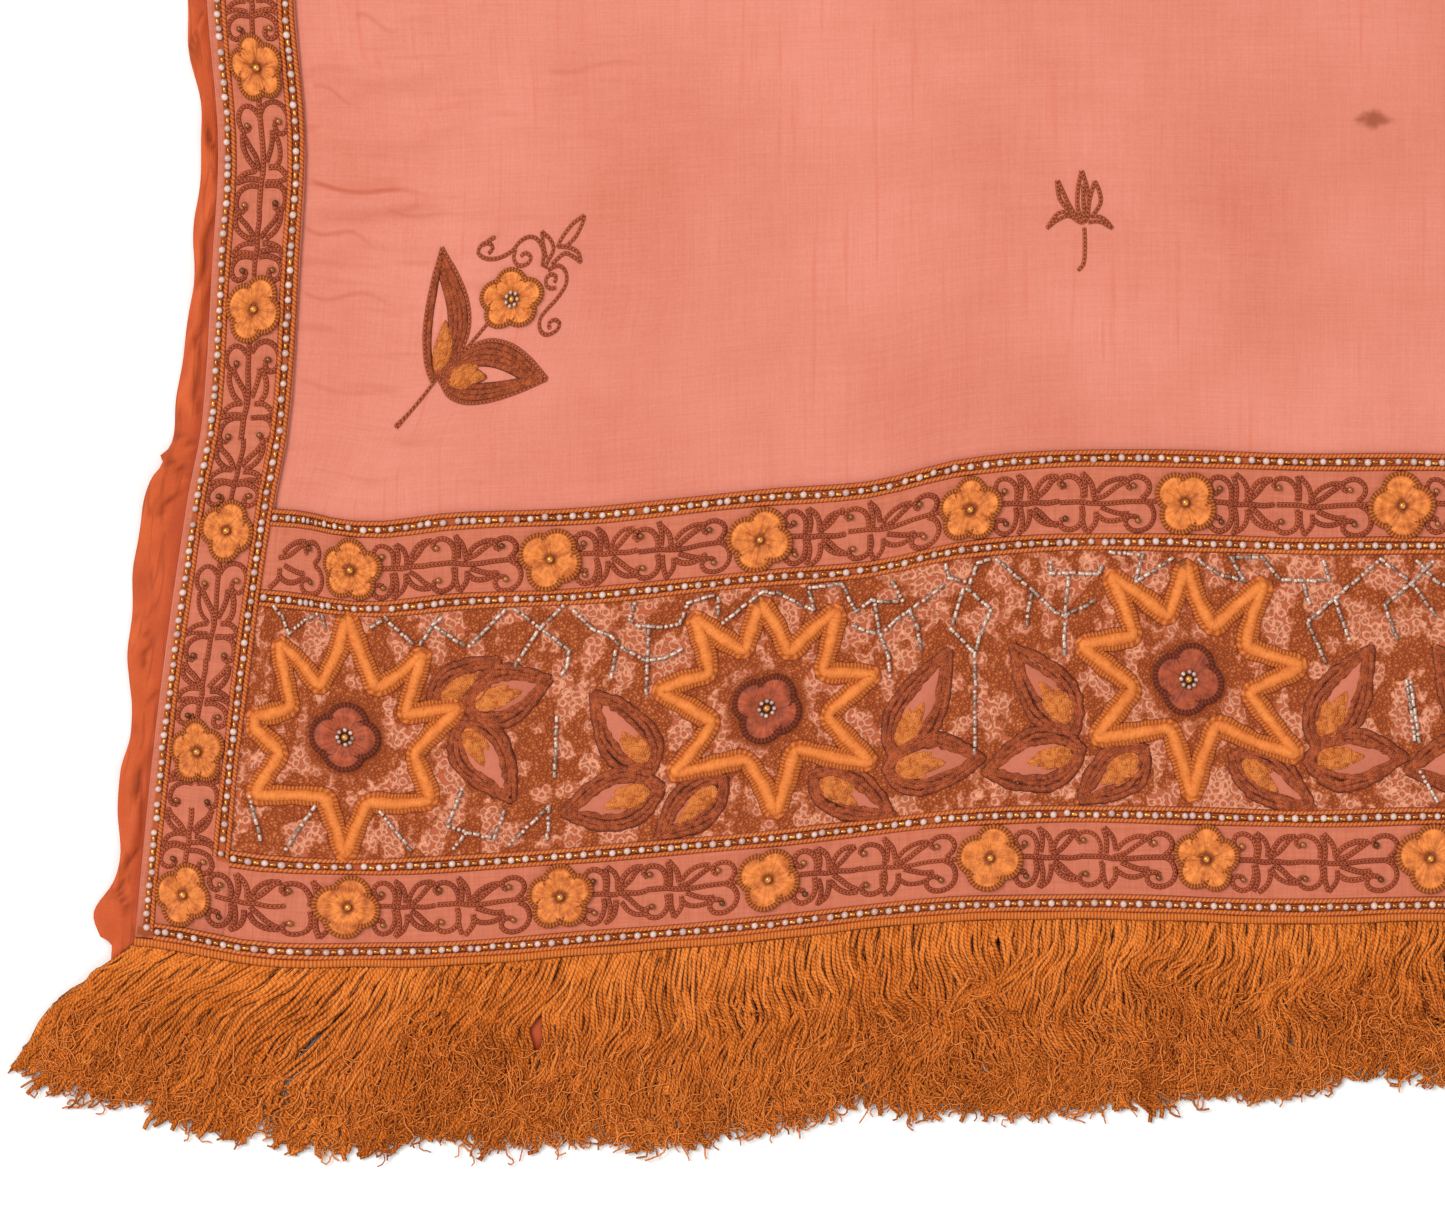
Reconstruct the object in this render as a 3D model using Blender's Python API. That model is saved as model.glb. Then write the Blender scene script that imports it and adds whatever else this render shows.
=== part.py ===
"""An embroidered dupatta laid flat, face up.

A lining lies under a sheer face cloth, which carries embroidered border strips along its two
sides and its two ends, with a thread fringe past each end. Each piece is first set out flat, in
millimetres: "across" runs from the lining's mean left edge, "along" from the near fringe's seam.
lay() then carries every point to where the cloth lies, in metres, with the origin under the
middle of the whole piece. The far half is the near half given half a turn.
"""

import math

import bmesh
import bpy
from mathutils import Matrix

MM = 0.001

# Driving sizes of the flat pieces, in millimetres
WIDTH = 894.0
LENGTH = 2250.0
WALL = 1.0
GAP = 0.3
OUTER_BEADS = 13.5
FACE_EDGE = 10.5
SIDE_OUTER = 11.0
SIDE_INNER = 36.4
END_INNER = 134.5
SEAM_GAP = 0.4
BAND_UPPER = 119.2
BAND_LOWER = 15.6
STAR_ROW = 67.8

# Levels of the layers above the surface, in millimetres
LINING_FLOOR = 0.0
FACE_FLOOR = LINING_FLOOR + WALL + GAP
BORDER_FLOOR = FACE_FLOOR + WALL + GAP
BORDER_TOP = BORDER_FLOOR + WALL
SUNK = 0.5

# Raised embroidery on the borders, in millimetres
FLOWER_RADIUS = 8.6
FLOWER_RISE = 2.0
FLOWER_CROWN = 0.6
FLOWER_SIDES = 8
CENTRE_RADIUS = 10.5
CORD_HALF_WIDTH = 2.9
CORD_RISE = 2.4
CORD_MITRE = 1.5
PANEL_MARGIN = 0.6

# Spacing of the embroidery, in millimetres
STAR_COUNT = 7
STAR_PITCH = 126.5
STAR_FIRST = 67.5
SIDE_FLOWER = 23.7

# How far the side borders lie inwards of their flat line on the near half
# Columns: along, shift on the left, shift on the right
SIDE_SWAY = (
    (-30.0, -7.5, -5.5),
    (0.0, -6.0, -6.5),
    (24.0, -3.9, -6.0),
    (64.0, 0.0, -2.0),
    (100.0, 4.5, 3.0),
    (136.0, 9.6, 7.5),
    (160.0, 14.1, 10.0),
    (205.0, 17.1, 14.0),
    (240.0, 18.9, 16.5),
    (280.0, 15.6, 17.0),
    (360.0, 13.0, 15.0),
    (480.0, 17.0, 12.0),
    (620.0, 13.5, 15.5),
    (780.0, 16.5, 13.0),
    (950.0, 13.0, 15.5),
    (1125.0, 14.5, 14.5),
)

# How far the near end border lies past its flat line, towards the middle of the cloth
# Columns: across, shift at the fringe seam, shift at the inner bead line
END_SWAY = (
    (10.0, -1.5, -7.0),
    (48.0, -7.5, -8.5),
    (75.0, -7.8, -11.5),
    (100.0, -7.3, -9.0),
    (144.0, -3.9, -7.0),
    (192.0, 0.0, -1.9),
    (225.0, 3.9, 0.5),
    (252.0, 6.0, 7.1),
    (292.0, 6.6, 10.1),
    (354.0, 5.1, 8.9),
    (400.0, 6.0, 8.6),
    (470.0, 3.0, 5.0),
    (540.0, -1.5, 2.0),
    (610.0, 1.0, -2.5),
    (680.0, 5.0, 1.5),
    (760.0, 2.0, 4.0),
    (830.0, -4.0, -3.0),
    (884.0, -7.0, -6.0),
)
INNER_LINE = 132.0
SIDE_PULL = 38.0
PULL_SPREAD = (30.0, 160.0)
PULL_WIDENS_OVER = 70.0
END_FADE = 200.0

# How far the lining shows past the outer bead line, near the corners
# Columns: along, reach on the left, reach on the right
LINING_REACH = (
    (-9.0, 9.5, 12.0),
    (0.0, 13.0, 12.5),
    (7.5, 15.3, 11.0),
    (17.0, 11.1, 13.0),
    (32.0, 11.1, 14.5),
    (52.0, 12.0, 11.5),
    (63.0, 9.9, 12.5),
    (80.0, 13.0, 14.0),
    (100.0, 15.0, 12.0),
    (127.0, 15.9, 14.0),
    (146.0, 13.6, 11.0),
    (166.0, 10.3, 14.5),
    (200.0, 9.3, 12.0),
    (225.0, 8.1, 13.5),
    (280.0, 9.0, 12.0),
)
REACH_MEAN = 11.8
TABLE_END = 280.0
TABLE_BLEND = 60.0

# Waves of the lining's edge past the tables
# Columns: height, length over a radian, phase on the right
REACH_WAVES = (
    (1.9, 29.0, 1.3),
    (1.1, 12.7, 2.6),
)

# How far the lining reaches past the fringe seam
# Columns: across, reach
LINING_TAIL = (
    (0.0, 8.0),
    (14.0, 11.0),
    (26.0, 22.0),
    (42.0, 29.0),
    (70.0, 32.0),
    (105.0, 28.5),
    (140.0, 32.0),
    (190.0, 30.0),
    (240.0, 33.0),
    (300.0, 29.0),
    (360.0, 32.0),
    (447.0, 30.0),
    (530.0, 33.0),
    (610.0, 29.5),
    (700.0, 32.0),
    (780.0, 29.0),
    (850.0, 30.0),
    (868.0, 22.0),
    (880.0, 11.0),
    (894.0, 8.0),
)

# Tucks that lift the lining's edge on the near half
# Columns: along, rise on the left, rise on the right, half width
TUCKS = (
    (2.0, 1.6, 0.9, 7.0),
    (24.0, 1.2, 1.8, 9.0),
    (51.0, 1.7, 1.0, 8.0),
    (84.0, 1.1, 2.1, 12.0),
    (139.0, 2.6, 1.4, 11.0),
    (201.0, 1.3, 1.9, 10.0),
    (240.0, 1.8, 1.1, 9.0),
    (264.0, 1.2, 1.6, 8.0),
)
TUCK_STEP = 47.0
TUCK_HALF_WIDTH = 15.0
TUCK_RISE = 1.3
TUCK_RISE_VARIES = 0.8
TUCK_SHIFT = 9.0

# Soft ridges in the face cloth beside the left border, near half
# Columns: across, along, rise, half width across, half width along
RIDGES = (
    (75.0, 222.0, 0.9, 45.0, 16.0),
    (90.0, 178.0, 0.6, 38.0, 12.0),
    (64.0, 255.0, 0.8, 40.0, 14.0),
    (820.0, 235.0, 0.8, 40.0, 16.0),
    (180.0, 420.0, 0.7, 90.0, 40.0),
    (700.0, 560.0, 0.8, 90.0, 50.0),
    (170.0, 860.0, 0.7, 80.0, 60.0),
)

RIDGE_FADE = 20.0

# One star's rays, round from the ray that points to the middle of the cloth
# Columns: ray's bearing in degrees, ray's reach, next notch's bearing, notch's reach
STAR_RAYS = (
    (92.0, 31.6, 67.0, 17.8),
    (51.0, 33.3, 29.0, 19.0),
    (9.5, 32.9, -11.0, 18.4),
    (-33.0, 35.0, -57.0, 16.4),
    (-87.0, 31.0, -114.0, 16.9),
    (-150.0, 31.8, -170.0, 17.2),
    (164.5, 33.6, 144.0, 20.0),
    (125.0, 35.0, 110.5, 18.8),
)

# Flowers of the two bands of an end border, placed by hand
# Columns: flower across in the band by the fringe, flower across in the inner band
BAND_FLOWERS = (
    (68.4, 69.0),
    (132.0, 129.0),
    (194.4, 192.0),
    (261.0, 255.0),
    (325.8, 319.5),
    (393.0, 384.6),
    (456.0, 448.5),
    (519.0, 511.5),
    (582.0, 575.0),
    (644.5, 638.0),
    (706.0, 702.0),
    (767.0, 765.0),
    (826.0, 826.0),
)

# Flowers of a side border from its near end, placed by hand, and the pitch of the rest
SIDE_FLOWERS = (14.5, 58.8, 127.3, 192.3, 261.1)
SIDE_REST = 25

# Fringe, in millimetres
HEAD_BACK = -0.8
HEAD_FRONT = -8.0
HEAD_THICK = 2.4
HEAD_CELLS = 43
LOCKS_PER_CELL = 2
LOCK_SHARE = 0.74
# Columns: share of the lock's length, width as a share of the pitch, underside, thickness
LOCK_RINGS = (
    (0.33, 0.88, 1.7, 3.0),
    (0.68, 0.80, 1.5, 2.6),
    (1.00, 0.30, 0.5, 1.0),
)
# Columns: lock's root across, drop of its tip past the seam, lean of its tip across
FRINGE_HANG = (
    (9.0, 43.0, -39.0),
    (38.0, 55.0, -38.0),
    (62.0, 60.0, -33.0),
    (84.0, 63.0, -28.0),
    (105.0, 62.0, -22.5),
    (118.0, 58.0, -19.5),
    (142.0, 62.0, -14.0),
    (185.0, 65.0, -8.5),
    (221.0, 59.0, -7.0),
    (245.0, 63.5, -6.5),
    (303.0, 64.0, -4.5),
    (352.0, 57.0, -4.0),
    (388.0, 53.5, -2.5),
    (430.0, 60.0, -1.0),
    (500.0, 63.0, 1.5),
    (570.0, 58.0, 3.5),
    (640.0, 64.0, 4.0),
    (700.0, 60.0, 7.0),
    (770.0, 65.0, 14.0),
    (830.0, 61.0, 27.0),
    (860.0, 55.0, 33.0),
    (885.0, 45.0, 36.0),
)
LEAN_BEND = 0.9
LOCK_RAGGED = 2.2
LOCK_SWAY = 0.8

# Grid lines of the walls, near half, in millimetres
END_PARTS = 4
END_LINES = tuple(END_INNER * part / END_PARTS for part in range(END_PARTS + 1))
SIDE_LINES = END_LINES + (
    160.0, 185.0, 210.0, 240.0, 280.0, 320.0, 370.0, 420.0, 480.0, 550.0, 620.0, 700.0,
    780.0, 870.0, 960.0, 1050.0,
)
FACE_LINES = (0.0, END_INNER, 162.0, 180.0, 200.0, 222.0, 250.0, 300.0, 420.0, 560.0, 860.0)
FACE_COLUMNS = (FACE_EDGE, SIDE_PULL, 68.0, 105.0, 180.0)
LINING_STEP_NEAR = 12.0
LINING_NEAR = 288.0
LINING_STEP_FAR = 28.0
LINING_FLAT = 9.4
LINING_TAIL_LINES = (-30.0, -2.0)
TAIL_CUTS = 44
REFINE_STEP = 18.0
END_CELLS = 23


def ease(share):
    """Return a smooth step from 0 to 1."""
    share = min(max(share, 0.0), 1.0)
    return share * share * (3.0 - 2.0 * share)


def smooth(table, place, column):
    """Read a table's column between its rows, on a curve with no kinks and level ends."""
    rows = [(row[0], row[column]) for row in table]
    if place <= rows[0][0]:
        return rows[0][1]
    if place >= rows[-1][0]:
        return rows[-1][1]
    low = max(k for k, row in enumerate(rows) if row[0] <= place)

    def slope(k):
        if k == 0 or k == len(rows) - 1:
            return 0.0
        return (rows[k + 1][1] - rows[k - 1][1]) / (rows[k + 1][0] - rows[k - 1][0])

    span = rows[low + 1][0] - rows[low][0]
    t = (place - rows[low][0]) / span
    start = rows[low][1] * (1.0 + 2.0 * t) * (1.0 - t) ** 2
    start += slope(low) * span * t * (1.0 - t) ** 2
    end = rows[low + 1][1] * t * t * (3.0 - 2.0 * t)
    end += slope(low + 1) * span * t * t * (t - 1.0)
    return start + end


def lay(across, along):
    """Carry a flat point, in millimetres, to where the laid cloth holds it, in metres."""
    if along > LENGTH / 2.0:
        x, y = lay(WIDTH - across, LENGTH - along)
        return -x, -y
    narrow, wide = PULL_SPREAD
    spread = narrow + (wide - narrow) * ease((along - INNER_LINE) / PULL_WIDENS_OVER)
    left = smooth(SIDE_SWAY, along, 1) * (1.0 - ease((across - SIDE_PULL) / spread))
    right = smooth(SIDE_SWAY, along, 2) * (1.0 - ease((WIDTH - SIDE_PULL - across) / spread))
    seam = smooth(END_SWAY, across, 1)
    inner = smooth(END_SWAY, across, 2)
    lift = seam + (inner - seam) * min(max(along / INNER_LINE, 0.0), 1.0)
    lift *= 1.0 - ease((along - INNER_LINE) / END_FADE)
    return (across - WIDTH / 2.0 + left - right) * MM, (along - LENGTH / 2.0 + lift) * MM


def turned(function):
    """Wrap a function of (along, side) so that the far half repeats the near half, turned."""
    def both(along, side):
        if along > LENGTH / 2.0:
            return function(LENGTH - along, 1 - side)
        return function(along, side)
    return both


@turned
def lining_reach(along, side):
    """Return how far the lining shows past the bead line; side is 0 on the left, 1 right."""
    near = smooth(LINING_REACH, along, 1 + side)
    far = REACH_MEAN + sum(
        height * math.sin(along / length + phase * side) for height, length, phase in REACH_WAVES
    )
    return near + (far - near) * ease((along - TABLE_END) / TABLE_BLEND)


@turned
def tuck_rise(along, side):
    """Return how far a tuck lifts the lining's edge."""
    rise = sum(
        row[1 + side] * math.exp(-((along - row[0]) / row[3]) ** 2) for row in TUCKS
    )
    number = round(along / TUCK_STEP)
    middle = number * TUCK_STEP + TUCK_SHIFT * math.sin(number * 2.7 + side)
    height = TUCK_RISE + TUCK_RISE_VARIES * math.sin(number * 1.9 + 2.0 * side)
    wave = height * math.exp(-((along - middle) / TUCK_HALF_WIDTH) ** 2)
    return rise + (wave - rise) * ease((along - TABLE_END) / TABLE_BLEND)


def both_halves(lines):
    """Return grid lines of the near half, then the same lines of the far half."""
    return list(lines) + [LENGTH - line for line in reversed(lines)]


def slab(columns, rows, floor):
    """Return a flat sheet whose cells lie between the grid lines, in flat millimetres."""
    mesh = bmesh.new()
    cells_across = len(columns) - 1
    cells_along = len(rows) - 1
    bmesh.ops.create_grid(mesh, x_segments=cells_across, y_segments=cells_along, size=0.5)
    for vert in mesh.verts:
        vert.co.x = columns[round((vert.co.x + 0.5) * cells_across)]
        vert.co.y = rows[round((vert.co.y + 0.5) * cells_along)]
        vert.co.z = floor
    return mesh


def thicken(mesh, relief):
    """Close a flat sheet into a wall, its outer points raised by relief(across, along)."""
    raised = bmesh.ops.extrude_face_region(mesh, geom=mesh.faces[:])
    for item in raised["geom"]:
        if isinstance(item, bmesh.types.BMVert):
            item.co.z += WALL + relief(item.co.x, item.co.y)
    bmesh.ops.recalc_face_normals(mesh, faces=mesh.faces)


def refine(mesh, on_line, step):
    """Cut the edges whose two ends satisfy on_line into pieces of about one step."""
    for edge in [e for e in mesh.edges if all(on_line(v.co) for v in e.verts)]:
        cuts = int(edge.calc_length() / step)
        if cuts:
            bmesh.ops.subdivide_edges(mesh, edges=[edge], cuts=cuts)


def no_relief(across, along):
    """Return no rise: a plain wall."""
    return 0.0


def face_relief(across, along):
    """Return the rise of the face cloth's soft ridges."""
    if along > LENGTH / 2.0:
        across, along = WIDTH - across, LENGTH - along
    rise = 0.0
    for at_across, at_along, height, half_across, half_along in RIDGES:
        spread = ((across - at_across) / half_across) ** 2 + ((along - at_along) / half_along) ** 2
        rise += height * math.exp(-spread)
    to_side = min(across, WIDTH - across) - SIDE_PULL
    return rise * ease(to_side / RIDGE_FADE) * ease((along - END_INNER) / RIDGE_FADE)


def material(name, colour, roughness):
    """Return a plain cloth or thread material."""
    made = bpy.data.materials.new(name)
    made.use_nodes = True
    shader = made.node_tree.nodes["Principled BSDF"]
    shader.inputs["Base Color"].default_value = (*colour, 1.0)
    shader.inputs["Roughness"].default_value = roughness
    shader.inputs["Metallic"].default_value = 0.0
    made.diffuse_color = (*colour, 1.0)
    return made


def place(mesh, name, finish, collection):
    """Lay a flat mesh where the cloth lies and make it a named object."""
    for vert in mesh.verts:
        x, y = lay(vert.co.x, vert.co.y)
        vert.co = (x, y, vert.co.z * MM)
    data = bpy.data.meshes.new(name)
    mesh.to_mesh(data)
    mesh.free()
    data.materials.append(finish)
    made = bpy.data.objects.new(name, data)
    collection.objects.link(made)
    return made


def half_turn(original, name, collection):
    """Copy an object with half a turn about the vertical axis."""
    data = original.data.copy()
    data.transform(Matrix.Rotation(math.pi, 4, "Z"))
    copy = bpy.data.objects.new(name, data)
    collection.objects.link(copy)
    return copy


def union(target, raised):
    """Join raised work to a wall with a Boolean."""
    raised.hide_render = True
    raised.display_type = "WIRE"
    join = target.modifiers.new("raised_work", "BOOLEAN")
    join.operation = "UNION"
    join.solver = "EXACT"
    join.object = raised


def build_lining(finish, collection):
    """Build the lining, whose wavy, tucked edges show past the face cloth and the fringe."""
    near_count = round(LINING_NEAR / LINING_STEP_NEAR)
    rows = list(LINING_TAIL_LINES)
    rows += [LINING_STEP_NEAR * k for k in range(1, near_count + 1)]
    far_count = int((LENGTH / 2.0 - LINING_NEAR) / LINING_STEP_FAR)
    rows += [LINING_NEAR + LINING_STEP_FAR * (k + 1) for k in range(far_count)]
    columns = [0.0, LINING_FLAT, WIDTH - LINING_FLAT, WIDTH]
    mesh = slab(columns, both_halves(rows), LINING_FLOOR)
    tail = (rows[0], LENGTH - rows[0])
    wide = [
        e for e in mesh.edges
        if all(v.co.y in tail for v in e.verts) and e.calc_length() > WIDTH / 2.0
    ]
    bmesh.ops.subdivide_edges(mesh, edges=wide, cuts=TAIL_CUTS)
    edge_rise = {}
    for vert in mesh.verts:
        across, along = vert.co.x, vert.co.y
        outer = across in (0.0, WIDTH)
        side = 0 if across == 0.0 else 1
        if along < tail[0] + 1.0:
            vert.co.y = -smooth(LINING_TAIL, across, 1)
        elif along > tail[1] - 1.0:
            vert.co.y = LENGTH + smooth(LINING_TAIL, WIDTH - across, 1)
        if outer:
            reach = lining_reach(vert.co.y, side)
            inset = OUTER_BEADS - reach
            vert.co.x = inset if side == 0 else WIDTH - inset
            if 0.0 < vert.co.y < LENGTH:
                edge_rise[(vert.co.x, vert.co.y)] = tuck_rise(vert.co.y, side)
    thicken(mesh, lambda across, along: edge_rise.get((across, along), 0.0))
    return place(mesh, "lining", finish, collection)


def build_face(finish, collection):
    """Build the sheer face cloth, with its soft ridges over a plain underside."""
    columns = list(FACE_COLUMNS)
    columns += [WIDTH / 2.0] + [WIDTH - column for column in reversed(FACE_COLUMNS)]
    mesh = slab(columns, both_halves(FACE_LINES), FACE_FLOOR)
    refine(mesh, lambda co: co.y in (0.0, LENGTH), REFINE_STEP)
    thicken(mesh, face_relief)
    return place(mesh, "face_cloth", finish, collection)


def add_flower(mesh, across, along, radius):
    """Add one padded flower as a low crowned form, sunk a little into its wall."""
    depth = FLOWER_RISE + SUNK
    middle = Matrix.Translation((across, along, BORDER_TOP - SUNK + depth / 2.0))
    bmesh.ops.create_cone(
        mesh, cap_ends=True, segments=FLOWER_SIDES, radius1=radius,
        radius2=radius * FLOWER_CROWN, depth=depth, matrix=middle,
    )


def side_flower_places():
    """Return where the flowers of a side border lie along it."""
    last = SIDE_FLOWERS[-1]
    pitch = (LENGTH - 2.0 * last) / SIDE_REST
    return both_halves(SIDE_FLOWERS) + [last + pitch * k for k in range(1, SIDE_REST)]


def build_side_border(finish, collection, cutters):
    """Build the left side border, a strip with its raised flowers."""
    strip = slab([SIDE_OUTER, SIDE_INNER], both_halves(SIDE_LINES), BORDER_FLOOR)
    thicken(strip, no_relief)
    border = place(strip, "side_border_left", finish, collection)
    flowers = bmesh.new()
    for along in side_flower_places():
        add_flower(flowers, SIDE_FLOWER, along, FLOWER_RADIUS)
    union(border, place(flowers, "side_flowers", finish, cutters))
    return border


def star_line():
    """Return the points of one star's cord, round from its first ray."""
    points = []
    for ray, reach, notch, notch_reach in STAR_RAYS:
        for bearing, distance in ((ray, reach), (notch, notch_reach)):
            turn = math.radians(bearing)
            points.append((distance * math.cos(turn), distance * math.sin(turn)))
    return points


def offset_line(points, width):
    """Return a closed line's points moved out by a width, with short mitres."""
    moved = []
    count = len(points)
    for k, (x, y) in enumerate(points):
        before = points[k - 1]
        after = points[(k + 1) % count]
        first = math.atan2(y - before[1], x - before[0])
        second = math.atan2(after[1] - y, after[0] - x)
        turn = (second - first + math.pi) % (2.0 * math.pi) - math.pi
        middle = first + turn / 2.0
        length = min(1.0 / max(math.cos(turn / 2.0), 0.1), CORD_MITRE) * width
        moved.append((x - length * math.sin(middle), y + length * math.cos(middle)))
    return moved


def add_star(mesh, across, along, first, last):
    """Add one star's thick couched cord, a ridge on the star's line, inside its panel."""
    line = star_line()
    loops = (
        (offset_line(line, CORD_HALF_WIDTH), BORDER_TOP - SUNK),
        (line, BORDER_TOP + CORD_RISE),
        (offset_line(line, -CORD_HALF_WIDTH), BORDER_TOP - SUNK),
    )
    rings = [
        [
            mesh.verts.new((min(max(across + x, first), last), along + y, level))
            for x, y in points
        ]
        for points, level in loops
    ]
    count = len(line)
    cord = []
    for ring, other in ((0, 1), (1, 2), (2, 0)):
        for k in range(count):
            after = (k + 1) % count
            cord.append(mesh.faces.new(
                (rings[ring][k], rings[ring][after], rings[other][after], rings[other][k])
            ))
    bmesh.ops.recalc_face_normals(mesh, faces=cord)
    bmesh.ops.triangulate(mesh, faces=cord)


def build_end_border(finish, collection, cutters):
    """Build the near end border: a panel of stars between two bands of flowers."""
    first = SIDE_INNER + SEAM_GAP
    last = WIDTH - first
    columns = [first + (last - first) * k / END_CELLS for k in range(END_CELLS + 1)]
    panel = slab(columns, [0.0, END_INNER], BORDER_FLOOR)
    ends = [e for e in panel.edges if e.calc_length() > END_INNER / 2.0]
    sides = [e for e in ends if all(v.co.x in (first, last) for v in e.verts)]
    bmesh.ops.subdivide_edges(panel, edges=sides, cuts=END_PARTS - 1)
    refine(panel, lambda co: co.y == 0.0, REFINE_STEP)
    thicken(panel, no_relief)
    border = place(panel, "end_border_near", finish, collection)
    raised = bmesh.new()
    for number in range(STAR_COUNT):
        across = STAR_FIRST + STAR_PITCH * number
        add_star(raised, across, STAR_ROW, first + PANEL_MARGIN, last - PANEL_MARGIN)
    for number in range(STAR_COUNT):
        add_flower(raised, STAR_FIRST + STAR_PITCH * number, STAR_ROW, CENTRE_RADIUS)
    for lower, upper in BAND_FLOWERS:
        add_flower(raised, lower, BAND_LOWER, FLOWER_RADIUS)
        add_flower(raised, upper, BAND_UPPER, FLOWER_RADIUS)
    union(border, place(raised, "end_raised_work", finish, cutters))
    return border


def lock_ring(root, share, pitch, number):
    """Return one section of a lock: its middle across and along, and its half width."""
    drop = smooth(FRINGE_HANG, root, 1) + LOCK_RAGGED * math.sin(number * 2.39)
    lean = smooth(FRINGE_HANG, root, 2)
    across = root + lean * share ** LEAN_BEND
    across += LOCK_SWAY * math.sin(number * 1.7 + 4.0 * share) * share
    along = HEAD_FRONT - (drop + HEAD_FRONT) * share
    return across, along, pitch / 2.0


def build_fringe(finish, collection):
    """Build the near fringe: locks drawn out of the front of a narrow header strip."""
    first = FACE_EDGE
    cell = (WIDTH - 2.0 * FACE_EDGE) / HEAD_CELLS
    columns = [first + cell * k for k in range(HEAD_CELLS + 1)]
    mesh = slab(columns, [HEAD_FRONT, HEAD_BACK], FACE_FLOOR)
    front = [e for e in mesh.edges if all(v.co.y == HEAD_FRONT for v in e.verts)]
    pitch = cell / LOCKS_PER_CELL
    bmesh.ops.subdivide_edges(mesh, edges=front, cuts=2 * LOCKS_PER_CELL - 1)
    for vert in mesh.verts:
        if vert.co.y != HEAD_FRONT:
            continue
        quarters = round((vert.co.x - first) / (pitch / 2.0))
        lock, part = divmod(quarters, 2)
        vert.co.x = first + pitch * (lock + part * LOCK_SHARE)
    raised = bmesh.ops.extrude_face_region(mesh, geom=mesh.faces[:])
    for item in raised["geom"]:
        if isinstance(item, bmesh.types.BMVert):
            item.co.z += HEAD_THICK
    bmesh.ops.recalc_face_normals(mesh, faces=mesh.faces)
    roots = [
        f for f in mesh.faces
        if all(v.co.y == HEAD_FRONT for v in f.verts)
        and max(v.co.x for v in f.verts) - min(v.co.x for v in f.verts) > pitch / 2.0
    ]
    roots.sort(key=lambda f: f.calc_center_median().x)
    for number, face in enumerate(roots):
        root = face.calc_center_median().x
        for share, width, underside, thickness in LOCK_RINGS:
            grown = bmesh.ops.extrude_discrete_faces(mesh, faces=[face])
            face = grown["faces"][0]
            across, along, half = lock_ring(root, share, pitch, number)
            centre = face.calc_center_median()
            for vert in face.verts:
                side = 1.0 if vert.co.x > centre.x else -1.0
                top = vert.co.z > centre.z
                vert.co.x = across + side * half * width
                vert.co.y = along
                vert.co.z = underside + (thickness if top else 0.0)
    return place(mesh, "fringe_near", finish, collection)


def main():
    """Clear the scene and build the dupatta."""
    for made in list(bpy.data.objects):
        bpy.data.objects.remove(made, do_unlink=True)
    pieces = bpy.data.collections.new("embroidered_dupatta")
    cutters = bpy.data.collections.new("cutters")
    bpy.context.scene.collection.children.link(pieces)
    bpy.context.scene.collection.children.link(cutters)
    lining_cloth = material("lining_orange", (0.62, 0.098, 0.025), 0.7)
    face_cloth = material("face_salmon", (0.78, 0.27, 0.18), 0.8)
    border_cloth = material("border_embroidery", (0.55, 0.17, 0.06), 0.75)
    fringe_thread = material("fringe_thread", (0.55, 0.15, 0.02), 0.55)
    build_lining(lining_cloth, pieces)
    build_face(face_cloth, pieces)
    left = build_side_border(border_cloth, pieces, cutters)
    near = build_end_border(border_cloth, pieces, cutters)
    for border, name in ((left, "side_border_right"), (near, "end_border_far")):
        far_side = half_turn(border, name, pieces)
        raised = border.modifiers["raised_work"].object
        union(far_side, half_turn(raised, raised.name + "_far", cutters))
    fringe = build_fringe(fringe_thread, pieces)
    half_turn(fringe, "fringe_far", pieces)


main()
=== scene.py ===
"""Dress an embroidered dupatta that lies flat, face up, on a pale floor.

Every piece is first set out flat, in millimetres: "across" runs from the lining's mean left edge,
"along" from the near fringe's seam. Laying then carries each point to where the cloth lies. The
far half is the near half given half a turn.
"""

import logging
import math
from dataclasses import dataclass, field
from enum import Enum
from typing import Callable, Optional, Sequence, Union

import bmesh
import bpy
import numpy as np
from bpy.types import ID, ColorRamp, Material, Mesh, Node, NodeSocket, Object
from mathutils import Matrix, Vector


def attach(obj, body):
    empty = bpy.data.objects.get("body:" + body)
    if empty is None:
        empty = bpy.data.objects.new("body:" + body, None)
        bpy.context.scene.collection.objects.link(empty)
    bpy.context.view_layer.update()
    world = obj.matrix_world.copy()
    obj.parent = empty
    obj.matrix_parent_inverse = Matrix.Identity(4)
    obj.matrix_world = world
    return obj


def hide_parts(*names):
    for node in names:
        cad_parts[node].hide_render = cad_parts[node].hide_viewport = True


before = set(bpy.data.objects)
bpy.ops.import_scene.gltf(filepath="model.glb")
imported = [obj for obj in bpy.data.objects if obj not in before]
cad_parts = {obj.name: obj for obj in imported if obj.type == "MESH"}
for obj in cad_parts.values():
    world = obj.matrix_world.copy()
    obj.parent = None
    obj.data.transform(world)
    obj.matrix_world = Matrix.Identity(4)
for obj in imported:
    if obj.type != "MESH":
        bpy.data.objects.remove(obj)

MM = 0.001
LOG = logging.getLogger("dupatta")
TURN = 2.0 * math.pi
Array = np.ndarray
Rows = Sequence[Sequence[float]]
Colour = tuple[float, float, float, float]


class Slot(Enum):
    """Material slots of the record."""

    LINING = "lining_cloth"
    FACE = "face_cloth"
    BORDER = "border_embroidery"
    FRINGE = "fringe_thread"


class Half(Enum):
    """Which half of the cloth a piece lies on."""

    NEAR = "near"
    FAR = "far"


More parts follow.
